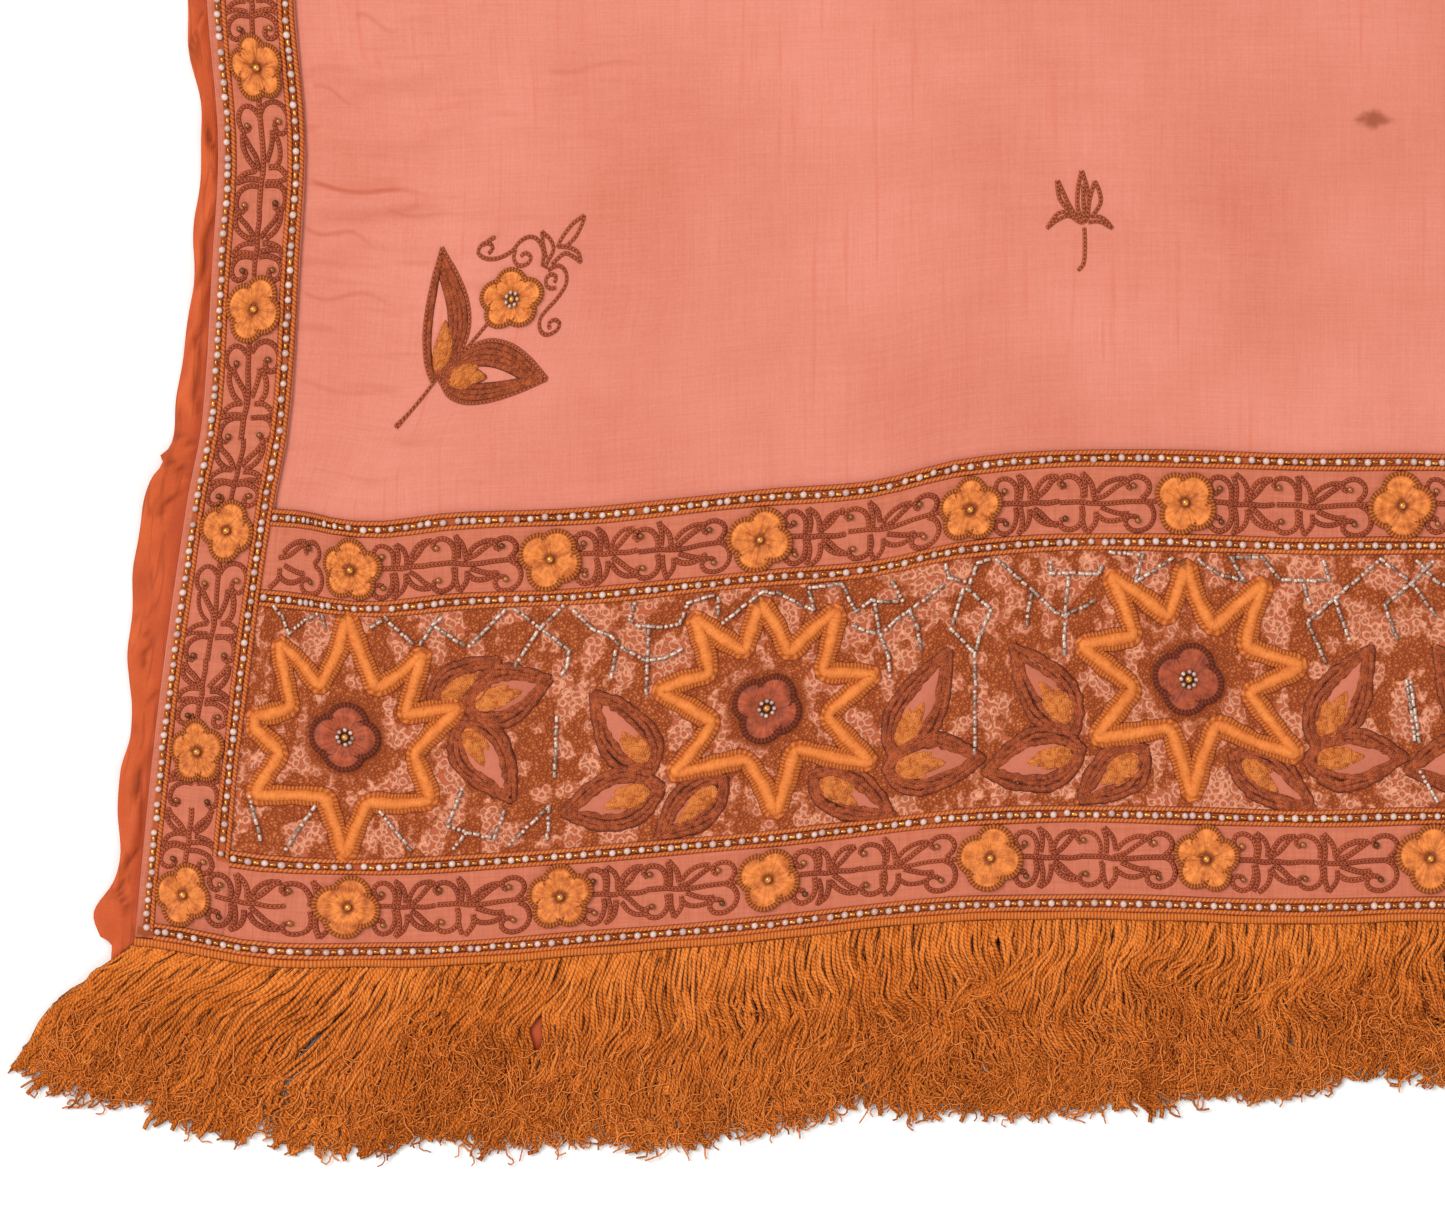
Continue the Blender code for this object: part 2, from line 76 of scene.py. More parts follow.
@dataclass(frozen=True)
class Cut:
    """Driving sizes of the flat pieces, in millimetres."""

    width: float = 894.0
    length: float = 2250.0
    outer_beads: float = 13.5
    inner_beads: float = 33.9
    side_middle: float = 23.7
    face_edge: float = 10.5
    side_outer: float = 11.0
    side_inner: float = 36.4
    end_inner: float = 134.5
    seam_gap: float = 0.4
    bead_lines: tuple[float, ...] = (2.0, 28.0, 107.5, 132.0)
    band_lower: float = 15.6
    band_upper: float = 119.2
    star_row: float = 67.8
    star_first: float = 67.5
    star_pitch: float = 126.5
    star_count: int = 7
    lining_top: float = 1.0
    face_top: float = 2.2
    border_top: float = 3.6
    view_across: float = 425.0
    view_along: float = 300.0


CUT = Cut()

# How far the side borders lie inwards of their flat line on the near half
# Columns: along, shift on the left, shift on the right
SIDE_SWAY = (
    (-30, -7.5, -5.5), (0, -6, -6.5), (24, -3.9, -6), (64, 0, -2), (100, 4.5, 3), (136, 9.6, 7.5),
    (160, 14.1, 10), (205, 17.1, 14), (240, 18.9, 16.5), (280, 15.6, 17), (360, 13, 15),
    (480, 17, 12), (620, 13.5, 15.5), (780, 16.5, 13), (950, 13, 15.5), (1125, 14.5, 14.5),
)

# How far the near end border lies past its flat line
# Columns: across, shift at the fringe seam, shift at the inner bead line
END_SWAY = (
    (10, -1.5, -7), (48, -7.5, -8.5), (75, -7.8, -11.5), (100, -7.3, -9), (144, -3.9, -7),
    (192, 0, -1.9), (225, 3.9, 0.5), (252, 6, 7.1), (292, 6.6, 10.1), (354, 5.1, 8.9),
    (400, 6, 8.6), (470, 3, 5), (540, -1.5, 2), (610, 1, -2.5), (680, 5, 1.5), (760, 2, 4),
    (830, -4, -3), (884, -7, -6),
)

# How far the lining shows past the outer bead line, near the corners
# Columns: along, reach on the left, reach on the right
LINING_REACH = (
    (-9, 9.5, 12), (0, 13, 12.5), (7.5, 15.3, 11), (17, 11.1, 13), (32, 11.1, 14.5), (52, 12, 11.5),
    (63, 9.9, 12.5), (80, 13, 14), (100, 15, 12), (127, 15.9, 14), (143, 15.3, 11),
    (147.4, 13.4, 11.2), (149.6, 14.9, 11.5), (152.4, 12.3, 12), (166, 10.6, 14.5), (200, 9.3, 12),
    (225, 8.1, 13.5), (280, 9, 12),
)

# Waves of the lining's edge past the table
# Columns: height, length over a radian, phase on the right
REACH_WAVES = ((1.9, 29.0, 1.3), (1.1, 12.7, 2.6))

# How far the lining reaches past the fringe seam
# Columns: across, reach
LINING_TAIL = (
    (0, 8), (14, 11), (26, 22), (42, 29), (70, 32), (105, 28.5), (140, 32), (190, 30), (240, 33),
    (300, 29), (360, 32), (447, 30), (530, 33), (610, 29.5), (700, 32), (780, 29), (850, 30),
    (868, 22), (880, 11), (894, 8),
)

# Tucks that lift the lining's edge on the near half
# Columns: along, rise on the left, rise on the right, half width
TUCKS = (
    (2, 1.6, 0.9, 7), (24, 1.2, 1.8, 9), (51, 1.7, 1, 8), (84, 1.1, 2.1, 12), (139, 2.6, 1.4, 11),
    (201, 1.3, 1.9, 10), (240, 1.8, 1.1, 9), (264, 1.2, 1.6, 8),
)

# Folds pressed in the lining's edge, repeated along it
# Columns: first along and share of the way in, last along and share, rise, half width
FOLD_REPEAT = 290.0
LINING_FOLDS = (
    (5, 0.62, 18, 0.02, 1.3, 1.3), (21, 0.02, 31, 0.44, 1.3, 1.3), (30, 0.46, 56, 0.34, 1.2, 1.3),
    (74, 0.36, 82, 0.70, 0.9, 1.4), (84, 0.22, 96, 0.30, 0.8, 1.3), (132, 0.18, 139, 0.48, 1, 1.3),
    (141.5, 0.82, 147.4, 0.02, 1.5, 1.3), (150.4, 0.88, 153.6, 0.18, 1, 1.1),
    (158, 0.50, 184, 0.22, 1, 1.3), (180, 0.12, 200, 0.52, 1.1, 1.3),
    (202, 0.06, 228, 0.66, 1.4, 1.3), (230.5, 0.66, 244, 0.00, 1.4, 1.3),
    (246, 0.70, 268, 0.62, 0.8, 1.3), (266, 0.08, 284, 0.84, 1.4, 1.3),
)

# Creases of the face cloth, near half, placed from the edge of the left border
# Columns: first across and along, last across and along, rise (below 0 a trough), half width
CREASES = (
    (38, 222, 84, 226, 1.1, 2.6), (40, 217, 80, 219.5, -0.8, 2.2), (44, 213, 100, 214, 0.7, 2.6),
    (38, 240, 92, 247, 0.8, 3), (38, 249, 84, 256, -0.6, 2.6), (38, 259, 100, 266, 0.7, 3.4),
    (40, 203, 78, 199, 0.6, 2.8), (40, 190, 96, 182, -0.5, 3.2), (44, 180, 88, 170, 0.6, 3.6),
    (60, 158, 130, 148, 0.5, 5), (150, 268, 260, 220, 0.4, 8), (250, 160, 380, 200, 0.35, 9),
    (300, 270, 360, 235, -0.35, 7), (850, 226, 800, 231, 0.9, 3), (852, 205, 790, 198, 0.6, 3.4),
    (855, 262, 806, 254, -0.6, 3.2), (120, 330, 330, 410, 0.8, 14), (40, 380, 120, 396, 0.7, 6),
    (42, 470, 100, 462, 0.7, 5), (560, 300, 760, 380, 0.7, 12), (820, 520, 858, 512, 0.7, 5),
    (420, 560, 700, 620, 0.8, 16), (90, 640, 300, 600, 0.8, 14), (60, 760, 200, 790, 0.7, 10),
    (600, 820, 840, 760, 0.8, 14), (200, 920, 520, 980, 0.9, 18), (40, 1040, 240, 1010, 0.8, 12),
)

# Fine wrinkles of the face cloth by the left border
# Columns: first across and along, last across and along, sway, half width, strength
# The wrinkles have no relief: the face's finish paints each as a line of shade.
WRINKLE_SHADE_LINES = (
    (38, 228.6, 78, 226.6, 1.3, 1.2, 0.75), (62, 222.6, 92, 220.5, 0.8, 1.1, 0.30),
    (55, 276.5, 71, 272.5, 1.2, 1.4, 0.35), (40, 257, 54, 251, 0.9, 1.2, 0.40),
    (37, 217, 61, 212, 1.6, 1.2, 0.50), (38, 198, 68, 196.4, 1.7, 1.2, 0.45),
    (38, 171.5, 72, 170, 1.2, 1.4, 0.30), (120, 261, 158, 262.5, 0.9, 1.3, 0.25),
)

# One star's rays, round from the ray that points to the middle of the cloth
# Columns: ray's bearing in degrees, ray's reach, next notch's bearing, notch's reach
STAR_RAYS = (
    (92, 33.2, 65, 17), (52, 37, 30, 19.4), (10.5, 35.4, -10, 18), (-32.5, 39.6, -56, 15.6),
    (-86.5, 34.6, -112, 15.4), (-149, 34.4, -170, 16.8), (164, 35, 143, 20.4),
    (127, 38.4, 109.5, 18.6),
)

# The corner star's rays, in the same columns
CORNER_RAYS = (
    (89, 38.3, 58, 18), (47, 35.5, 22, 19.3), (8.6, 36.3, -15, 21), (-36.6, 34, -72, 21.5),
    (-89, 37.8, -107, 19.5), (-143, 33, -163, 19.5), (173, 32.5, 155, 18.5), (130, 36.5, 119, 16),
)

# Where the near fringe lies matted
# Columns: place across, half width
MATTED = ((104.0, 8.0), (118.0, 12.0), (229.0, 9.0), (262.0, 7.0), (320.0, 15.0), (386.0, 22.0))

# Flowers of the two bands of an end border
# Columns: flower across in the band by the fringe, flower across in the inner band
BAND_FLOWERS = (
    (68.4, 69), (132, 129), (194.4, 192), (261, 255), (325.8, 319.5), (393, 384.6), (456, 448.5),
    (519, 511.5), (582, 575), (644.5, 638), (706, 702), (767, 765), (826, 826),
)

# Flowers of a side border from its near end, and the number of equal steps between the rest
SIDE_FLOWERS = (14.5, 58.8, 127.3, 192.3, 261.1)
SIDE_REST = 25

# Drop and lean of the fringe
# Columns: root across, drop of the tip past the seam, lean of the tip across
FRINGE_HANG = (
    (9, 40.5, -38), (38, 52, -37.5), (62, 57, -33), (84, 60.5, -28), (105, 60.5, -22.5),
    (118, 58, -19.5), (142, 62, -14), (185, 65, -8.5), (221, 59, -7), (245, 63.5, -6.5),
    (303, 64, -4.5), (352, 57, -4), (388, 53.5, -2.5), (430, 60, -1), (500, 63, 1.5),
    (570, 58, 3.5), (640, 64, 4), (700, 60, 7), (770, 65, 14), (830, 61, 27), (860, 55, 33),
    (885, 45, 36),
)


class Laying:
    """Where the laid cloth holds each flat point, as the solids do."""

    inner_line = 132.0
    pull = 38.0
    spread = (30.0, 160.0)
    widens_over = 70.0
    fade = 200.0

    @staticmethod
    def ease(share: Array) -> Array:
        """Return a smooth step from 0 to 1."""
        share = np.clip(share, 0.0, 1.0)
        return share * share * (3.0 - 2.0 * share)

    @staticmethod
    def read(table: Rows, place: Array, column: int) -> Array:
        """Read a table's column between its rows, on a curve with level ends.

        Args:
            table: Rows in rising order of their first column.
            place: Where to read.
            column: Which column to read.

        Returns:
            The value at each place.
        """
        at = np.array([row[0] for row in table])
        value = np.array([row[column] for row in table])
        slope = np.zeros(len(at))
        slope[1:-1] = (value[2:] - value[:-2]) / (at[2:] - at[:-2])
        place = np.clip(place, at[0], at[-1])
        low = np.clip(np.searchsorted(at, place, side="right") - 1, 0, len(at) - 2)
        span = at[low + 1] - at[low]
        t = (place - at[low]) / span
        start = value[low] * (1.0 + 2.0 * t) * (1.0 - t) ** 2
        start = start + slope[low] * span * t * (1.0 - t) ** 2
        end = value[low + 1] * t * t * (3.0 - 2.0 * t)
        return start + end + slope[low + 1] * span * t * t * (t - 1.0)

    def place(self, flat: Array) -> Array:
        """Carry flat points to where the cloth lies.

        Args:
            flat: Across, along and height of each point, in millimetres.

        Returns:
            The same points in metres, in the frame of the solids.
        """
        far = flat[:, 1] > CUT.length / 2.0
        across = np.where(far, CUT.width - flat[:, 0], flat[:, 0])
        along = np.where(far, CUT.length - flat[:, 1], flat[:, 1])
        narrow, wide = self.spread
        spread = narrow + (wide - narrow) * self.ease((along - self.inner_line) / self.widens_over)
        left = self.read(SIDE_SWAY, along, 1) * (1.0 - self.ease((across - self.pull) / spread))
        right = self.read(SIDE_SWAY, along, 2) * (
            1.0 - self.ease((CUT.width - self.pull - across) / spread)
        )
        seam = self.read(END_SWAY, across, 1)
        inner = self.read(END_SWAY, across, 2)
        lift = seam + (inner - seam) * np.clip(along / self.inner_line, 0.0, 1.0)
        lift = lift * (1.0 - self.ease((along - self.inner_line) / self.fade))
        sign = np.where(far, -1.0, 1.0)
        x = (across - CUT.width / 2.0 + left - right) * sign
        y = (along - CUT.length / 2.0 + lift) * sign
        return np.column_stack((x, y, flat[:, 2])) * MM


LAYING = Laying()


def near_half(across: Array, along: Array) -> tuple[Array, Array]:
    """Return the near half's place that matches each place, by half a turn."""
    far = along > CUT.length / 2.0
    return np.where(far, CUT.width - across, across), np.where(far, CUT.length - along, along)


def line_relief(across: Array, along: Array, table: Rows) -> Array:
    """Return the rise of the soft folds in a table of straight lines.

    Args:
        across: Places across.
        along: Places along.
        table: One row for each fold: its two ends, its rise and its half width.

    Returns:
        The rise in millimetres.
    """
    rise = np.zeros(np.broadcast(across, along).shape)
    for u0, v0, u1, v1, height, half in table:
        du, dv = u1 - u0, v1 - v0
        length = math.hypot(du, dv)
        share = ((across - u0) * du + (along - v0) * dv) / length ** 2
        off = ((along - v0) * du - (across - u0) * dv) / length
        off = off - half * 0.5 * np.sin(share * 7.0 + v0)
        ends = LAYING.ease((share + 0.25) / 0.4) * LAYING.ease((1.25 - share) / 0.6)
        rise = rise + height * np.exp(-((off / half) ** 2)) * ends
    return rise


def face_relief(across: Array, along: Array) -> Array:
    """Return the rise of the face cloth's creases.

    Args:
        across: Places across.
        along: Places along.

    Returns:
        The rise in millimetres.
    """
    across, along = near_half(np.asarray(across, float), np.asarray(along, float))
    rise = line_relief(across, along, CREASES)
    wave = 0.25 * np.sin(across / 31.0 + 1.7 * np.sin(along / 47.0))
    wave = wave + 0.18 * np.sin(along / 19.0 + across / 53.0)
    rise = rise + wave
    to_side = np.minimum(across, CUT.width - across) - CUT.side_inner
    return rise * LAYING.ease(to_side / 7.0) * LAYING.ease((along - CUT.end_inner) / 9.0)


def ripple(run: Array, pitch: float, phase: float) -> Array:
    """Return a wave of a pitch and a phase."""
    return np.sin(run * TURN / pitch + phase)


def srgb(red: float, green: float, blue: float) -> Colour:
    """Return a linear colour from 0 to 255 display values.

    Args:
        red: Red, as displayed.
        green: Green, as displayed.
        blue: Blue, as displayed.

    Returns:
        The colour, with an alpha of 1.
    """
    def linear(value: float) -> float:
        """Return one linear value."""
        value /= 255.0
        return value / 12.92 if value <= 0.04045 else ((value + 0.055) / 1.055) ** 2.4

    return (linear(red), linear(green), linear(blue), 1.0)


def operator(name: str, reflected: bool = False) -> Callable[["Value", "Number"], "Value"]:
    """Return a Python operator on values.

    Args:
        name: The Math node's operation.
        reflected: Whether the value is the second term.

    Returns:
        The operator, which adds one Math node.
    """
    def apply(self: "Value", other: "Number") -> "Value":
        """Add the node."""
        terms = (other, self) if reflected else (self, other)
        return self.shader.math(name, *terms)

    return apply


class Value:
    """A number on a shader socket; Python operators on it add Math nodes."""

    def __init__(self, shader: "Shader", socket: NodeSocket) -> None:
        """Keep the socket and the shader that it belongs to."""
        self.shader = shader
        self.socket = socket

    __add__ = operator("ADD")
    __radd__ = operator("ADD", True)
    __sub__ = operator("SUBTRACT")
    __rsub__ = operator("SUBTRACT", True)
    __mul__ = operator("MULTIPLY")
    __rmul__ = operator("MULTIPLY", True)
    __truediv__ = operator("DIVIDE")
    __pow__ = operator("POWER")

    def step(self, low: float, high: float) -> "Value":
        """Return a smooth step from 0 to 1.

        Args:
            low: Where it is 0.
            high: Where it is 1, which may lie below low.

        Returns:
            The step.
        """
        node = self.shader.node(
            "ShaderNodeMapRange", {"interpolation_type": "SMOOTHSTEP"},
            {0: self, 1: low, 2: high, 3: 0.0, 4: 1.0},
        )
        return Value(self.shader, node.outputs[0])

    def wave(self, pitch: float) -> "Value":
        """Return a wave from 0 to 1 that repeats at a pitch."""
        turns = self.shader.math("SINE", self * (TURN / pitch))
        return turns * 0.5 + 0.5

    def size(self) -> "Value":
        """Return the value without its sign."""
        return self.shader.math("ABSOLUTE", self)

    def clamp(self) -> "Value":
        """Return the value kept from 0 to 1."""
        return self.shader.math("MINIMUM", self.shader.math("MAXIMUM", self, 0.0), 1.0)


Number = Union[Value, float, int]
Paint = Union[NodeSocket, Colour]


class Shader:
    """The nodes of one finish."""

    def __init__(self, name: str) -> None:
        """Make an empty finish with a Principled surface.

        Args:
            name: The material's name.
        """
        self.material = bpy.data.materials.new(name)
        self.material.use_nodes = True
        self.tree = self.material.node_tree
        self.surface = self.tree.nodes["Principled BSDF"]

    def node(
        self, kind: str, settings: Optional[dict] = None, sockets: Optional[dict] = None
    ) -> Node:
        """Add one node.

        Args:
            kind: The node's type.
            settings: Its settings, which are set first; "stops" fills a colour ramp.
            sockets: Values or links of its inputs, by name or number.

        Returns:
            The node.
        """
        made = self.tree.nodes.new(kind)
        for key, value in (settings or {}).items():
            if key == "stops":
                self._fill(made.color_ramp, value)
            else:
                setattr(made, key, value)
        for key, value in (sockets or {}).items():
            self.feed(made.inputs[key], value)
        return made

    @staticmethod
    def _fill(ramp: ColorRamp, stops: Sequence[tuple[float, Colour]]) -> None:
        """Give a colour ramp its stops.

        Args:
            ramp: The ramp.
            stops: Each stop's place and colour.
        """
        while len(ramp.elements) < len(stops):
            ramp.elements.new(0.5)
        for element, (place, colour) in zip(ramp.elements, stops):
            element.position = place
            element.color = colour

    def feed(self, socket: NodeSocket, value: object) -> None:
        """Link a socket to a value, or set it to a constant.

        Args:
            socket: The socket.
            value: A value, a socket or a constant.
        """
        if isinstance(value, Value):
            value = value.socket
        if isinstance(value, NodeSocket):
            self.tree.links.new(value, socket)
        else:
            socket.default_value = value

    def math(self, operation: str, *terms: Number) -> Value:
        """Add a Math node on values or numbers."""
        made = self.node("ShaderNodeMath", {"operation": operation}, dict(enumerate(terms)))
        return Value(self, made.outputs[0])

    def own(self, name: str) -> Value:
        """Read one of the piece's own numbers."""
        made = self.node("ShaderNodeAttribute", {"attribute_name": name})
        return Value(self, made.outputs["Fac"])

    def own_place(self, name: str = "flat") -> NodeSocket:
        """Read one of the piece's own places, such as where a point lies on the flat cloth."""
        return self.node("ShaderNodeAttribute", {"attribute_name": name}).outputs["Vector"]

    def split(self, vector: NodeSocket) -> tuple[Value, Value, Value]:
        """Return a vector's three numbers."""
        made = self.node("ShaderNodeSeparateXYZ", None, {0: vector})
        return tuple(Value(self, made.outputs[k]) for k in range(3))

    def join(self, x: Number, y: Number, z: Number = 0.0) -> NodeSocket:
        """Return a vector of three numbers."""
        return self.node("ShaderNodeCombineXYZ", None, {0: x, 1: y, 2: z}).outputs[0]

    def noise(
        self, vector: NodeSocket, scale: Union[float, tuple[float, float, float]],
        detail: float = 2.0, rough: float = 0.5,
    ) -> Value:
        """Add soft noise.

        Args:
            vector: The place that it reads.
            scale: One scale, or one for each direction.
            detail: How many finer layers it has.
            rough: How strong they are.

        Returns:
            The noise, about 0.5 on average.
        """
        if isinstance(scale, tuple):
            product = {"operation": "MULTIPLY"}
            vector = self.node("ShaderNodeVectorMath", product, {0: vector, 1: scale}).outputs[0]
            scale = 1.0
        made = self.node(
            "ShaderNodeTexNoise", {"noise_dimensions": "3D"},
            {"Vector": vector, "Scale": scale, "Detail": detail, "Roughness": rough},
        )
        return Value(self, made.outputs[0])

    def cells(
        self, vector: NodeSocket, scale: float, feature: str = "F1"
    ) -> tuple[Value, NodeSocket]:
        """Add round cells.

        Args:
            vector: Where the pattern is read.
            scale: Cells in a millimetre.
            feature: Which distance is measured.

        Returns:
            The distance from a cell's middle, or the one asked for, and the cell's colour.
        """
        made = self.node(
            "ShaderNodeTexVoronoi", {"voronoi_dimensions": "2D", "feature": feature},
            {"Vector": vector, "Scale": scale},
        )
        return Value(self, made.outputs["Distance"]), made.outputs["Color"]

    def mix(self, share: Number, first: Paint, second: Paint) -> NodeSocket:
        """Mix two colours.

        Args:
            share: 0 gives the first, 1 the second.
            first: One colour.
            second: The other colour.

        Returns:
            The mixed colour.
        """
        made = self.node(
            "ShaderNodeMix", {"data_type": "RGBA", "clamp_factor": True},
            {0: share, 6: first, 7: second},
        )
        return made.outputs[2]

    def ramp(self, share: Number, stops: Sequence[tuple[float, Colour]]) -> NodeSocket:
        """Run a value through a colour ramp."""
        return self.node("ShaderNodeValToRGB", {"stops": stops}, {0: share}).outputs[0]

    def bump(self, height: Value, depth: float, strength: float = 1.0) -> NodeSocket:
        """Turn a height into a normal.

        Args:
            height: The height, from 0 to 1.
            depth: What a height of 1 is, in metres.
            strength: How much of it shows.

        Returns:
            The normal.
        """
        made = self.node(
            "ShaderNodeBump", None, {"Height": height, "Distance": depth, "Strength": strength}
        )
        return made.outputs[0]

    def finish(self, **sockets: object) -> Material:
        """Set the surface's sockets.

        Args:
            sockets: What each socket gets, its name written with _ for a space.

        Returns:
            The material.
        """
        for name, value in sockets.items():
            title = " ".join(word.capitalize() for word in name.split("_"))
            title = title.replace("Ior", "IOR")
            self.feed(self.surface.inputs[title], value)
        return self.material


@dataclass(frozen=True)
class LiningFinish:
    """Opaque orange satin-weave cloth."""

    light: Colour = srgb(218, 100, 46)
    dark: Colour = srgb(178, 70, 28)
    crease_shade: Colour = srgb(146, 52, 14)

    def make(self) -> Material:
        """Build the nodes.

        Returns:
            The material.
        """
        shader = Shader("lining_orange")
        flat = shader.own_place()
        across, along, height = shader.split(flat)
        threads = shader.noise(flat, (0.5, 3.2, 1.0), 3.0, 0.6)
        soft = shader.noise(flat, (0.16, 0.05, 0.0), 3.0)
        weave = across.wave(0.55) * along.wave(0.55)
        # Painted shade: the colour darkens where the lining lies low.
        low = height.step(1.7, 1.05) * across.step(-3.0, 0.0) * 0.25
        tone = threads * 0.5 + soft * 1.3 - 0.45 - low
        colour = shader.mix(tone, self.dark, self.light)
        # Painted shade in the troughs beside the pressed folds, read from the fold attribute.
        colour = shader.mix(shader.own("fold") * 0.75, colour, self.crease_shade)
        # Painted shade along thin pressed crease lines.
        pressed = shader.noise(flat, (0.30, 0.045, 0.0), 1.5, 0.4)
        line = 1.0 - ((pressed - 0.5) / 0.07).size().clamp()
        colour = shader.mix(line * soft.step(0.42, 0.56) * 0.55, colour, self.crease_shade)
        height = weave * 0.4 + threads * 0.6
        return shader.finish(
            base_color=colour, roughness=0.62, sheen_weight=0.06, specular_ior_level=0.25,
            normal=shader.bump(height, 0.0003, 0.5),
        )


@dataclass(frozen=True)
class FaceFinish:
    """Sheer salmon cloth over the lining, with a fine slubbed weave and one soft stain."""

    light: Colour = srgb(248, 164, 144)
    dark: Colour = srgb(214, 116, 90)
    streak: Colour = srgb(222, 108, 70)
    stain: Colour = srgb(160, 78, 46)
    # fold is the colour of painted shade along the creases and wrinkles.
    fold: Colour = srgb(200, 96, 66)
    stain_place: tuple[float, float] = (376.0, 239.8)
    stain_half: tuple[float, float] = (6.6, 4.2)

    def make(self) -> Material:
        """Build the nodes.

        Returns:
            The material.
        """
        shader = Shader("face_sheer_salmon")
        flat = shader.own_place()
        across, along, _ = shader.split(flat)
        warp = shader.noise(flat, (1.7, 0.045, 1.0), 3.0, 0.7)
        weft = shader.noise(flat, (0.045, 1.7, 1.0), 3.0, 0.7)
        cloud = shader.noise(flat, 0.016, 3.0)
        fine = shader.noise(flat, 1.1, 2.0)
        tone = warp * 0.45 + weft * 0.45 + cloud * 0.9 + fine * 0.3 - 0.55
        colour = shader.mix(tone, self.dark, self.light)
        # Painted shade on the sides of the creases that face away from the key light.
        colour = shader.mix(shader.own("crease_shade") * 0.2, colour, self.fold)
        slub = shader.noise(flat, (0.42, 0.010, 1.0), 2.0, 0.5)
        slub_on = slub.step(0.58, 0.72) * cloud.step(0.40, 0.58)
        colour = shader.mix(slub_on * 0.3, colour, self.streak)
        u, v = self.stain_place
        half_u, half_v = self.stain_half
        rag = shader.noise(flat, 0.30, 3.0) * 1.2 - 0.6
        far = ((across - u) / half_u).size() ** 1.2 + ((along - v) / half_v).size() ** 1.2 + rag
        spot = far.step(1.15, 0.25)
        colour = shader.mix(spot * 0.8, colour, self.stain)
        # Painted shade: soft streaks by the side borders and the listed wrinkles.
        from_middle = (across - CUT.width / 2.0).size()
        border = from_middle.step(CUT.width / 2.0 - 170.0, CUT.width / 2.0 - 60.0)
        soft = shader.noise(flat, (0.035, 0.22, 1.0), 2.0, 0.5)
        lines = soft.step(0.56, 0.74) * border * 0.3
        for u0, v0, u1, v1, sway, half, strength in WRINKLE_SHADE_LINES:
            share = (across - u0) / (u1 - u0)
            bend = shader.math("SINE", share * 7.0 + v0) * sway
            off = ((along - (share * (v1 - v0) + v0) - bend) / half).size()
            line = off.step(1.0, 0.1) * share.step(-0.04, 0.08) * share.step(1.1, 0.55)
            lines = lines + line * strength
        colour = shader.mix((lines * (fine * 0.7 + 0.6)).clamp() * 0.8, colour, self.fold)
        weave = across.wave(0.6) * 0.5 + along.wave(0.6) * 0.5
        height = warp * 0.35 + weft * 0.35 + weave * 0.3
        return shader.finish(
            base_color=colour, roughness=0.75, alpha=0.7, sheen_weight=0.1,
            specular_ior_level=0.2, normal=shader.bump(height, 0.00025, 0.5),
        )


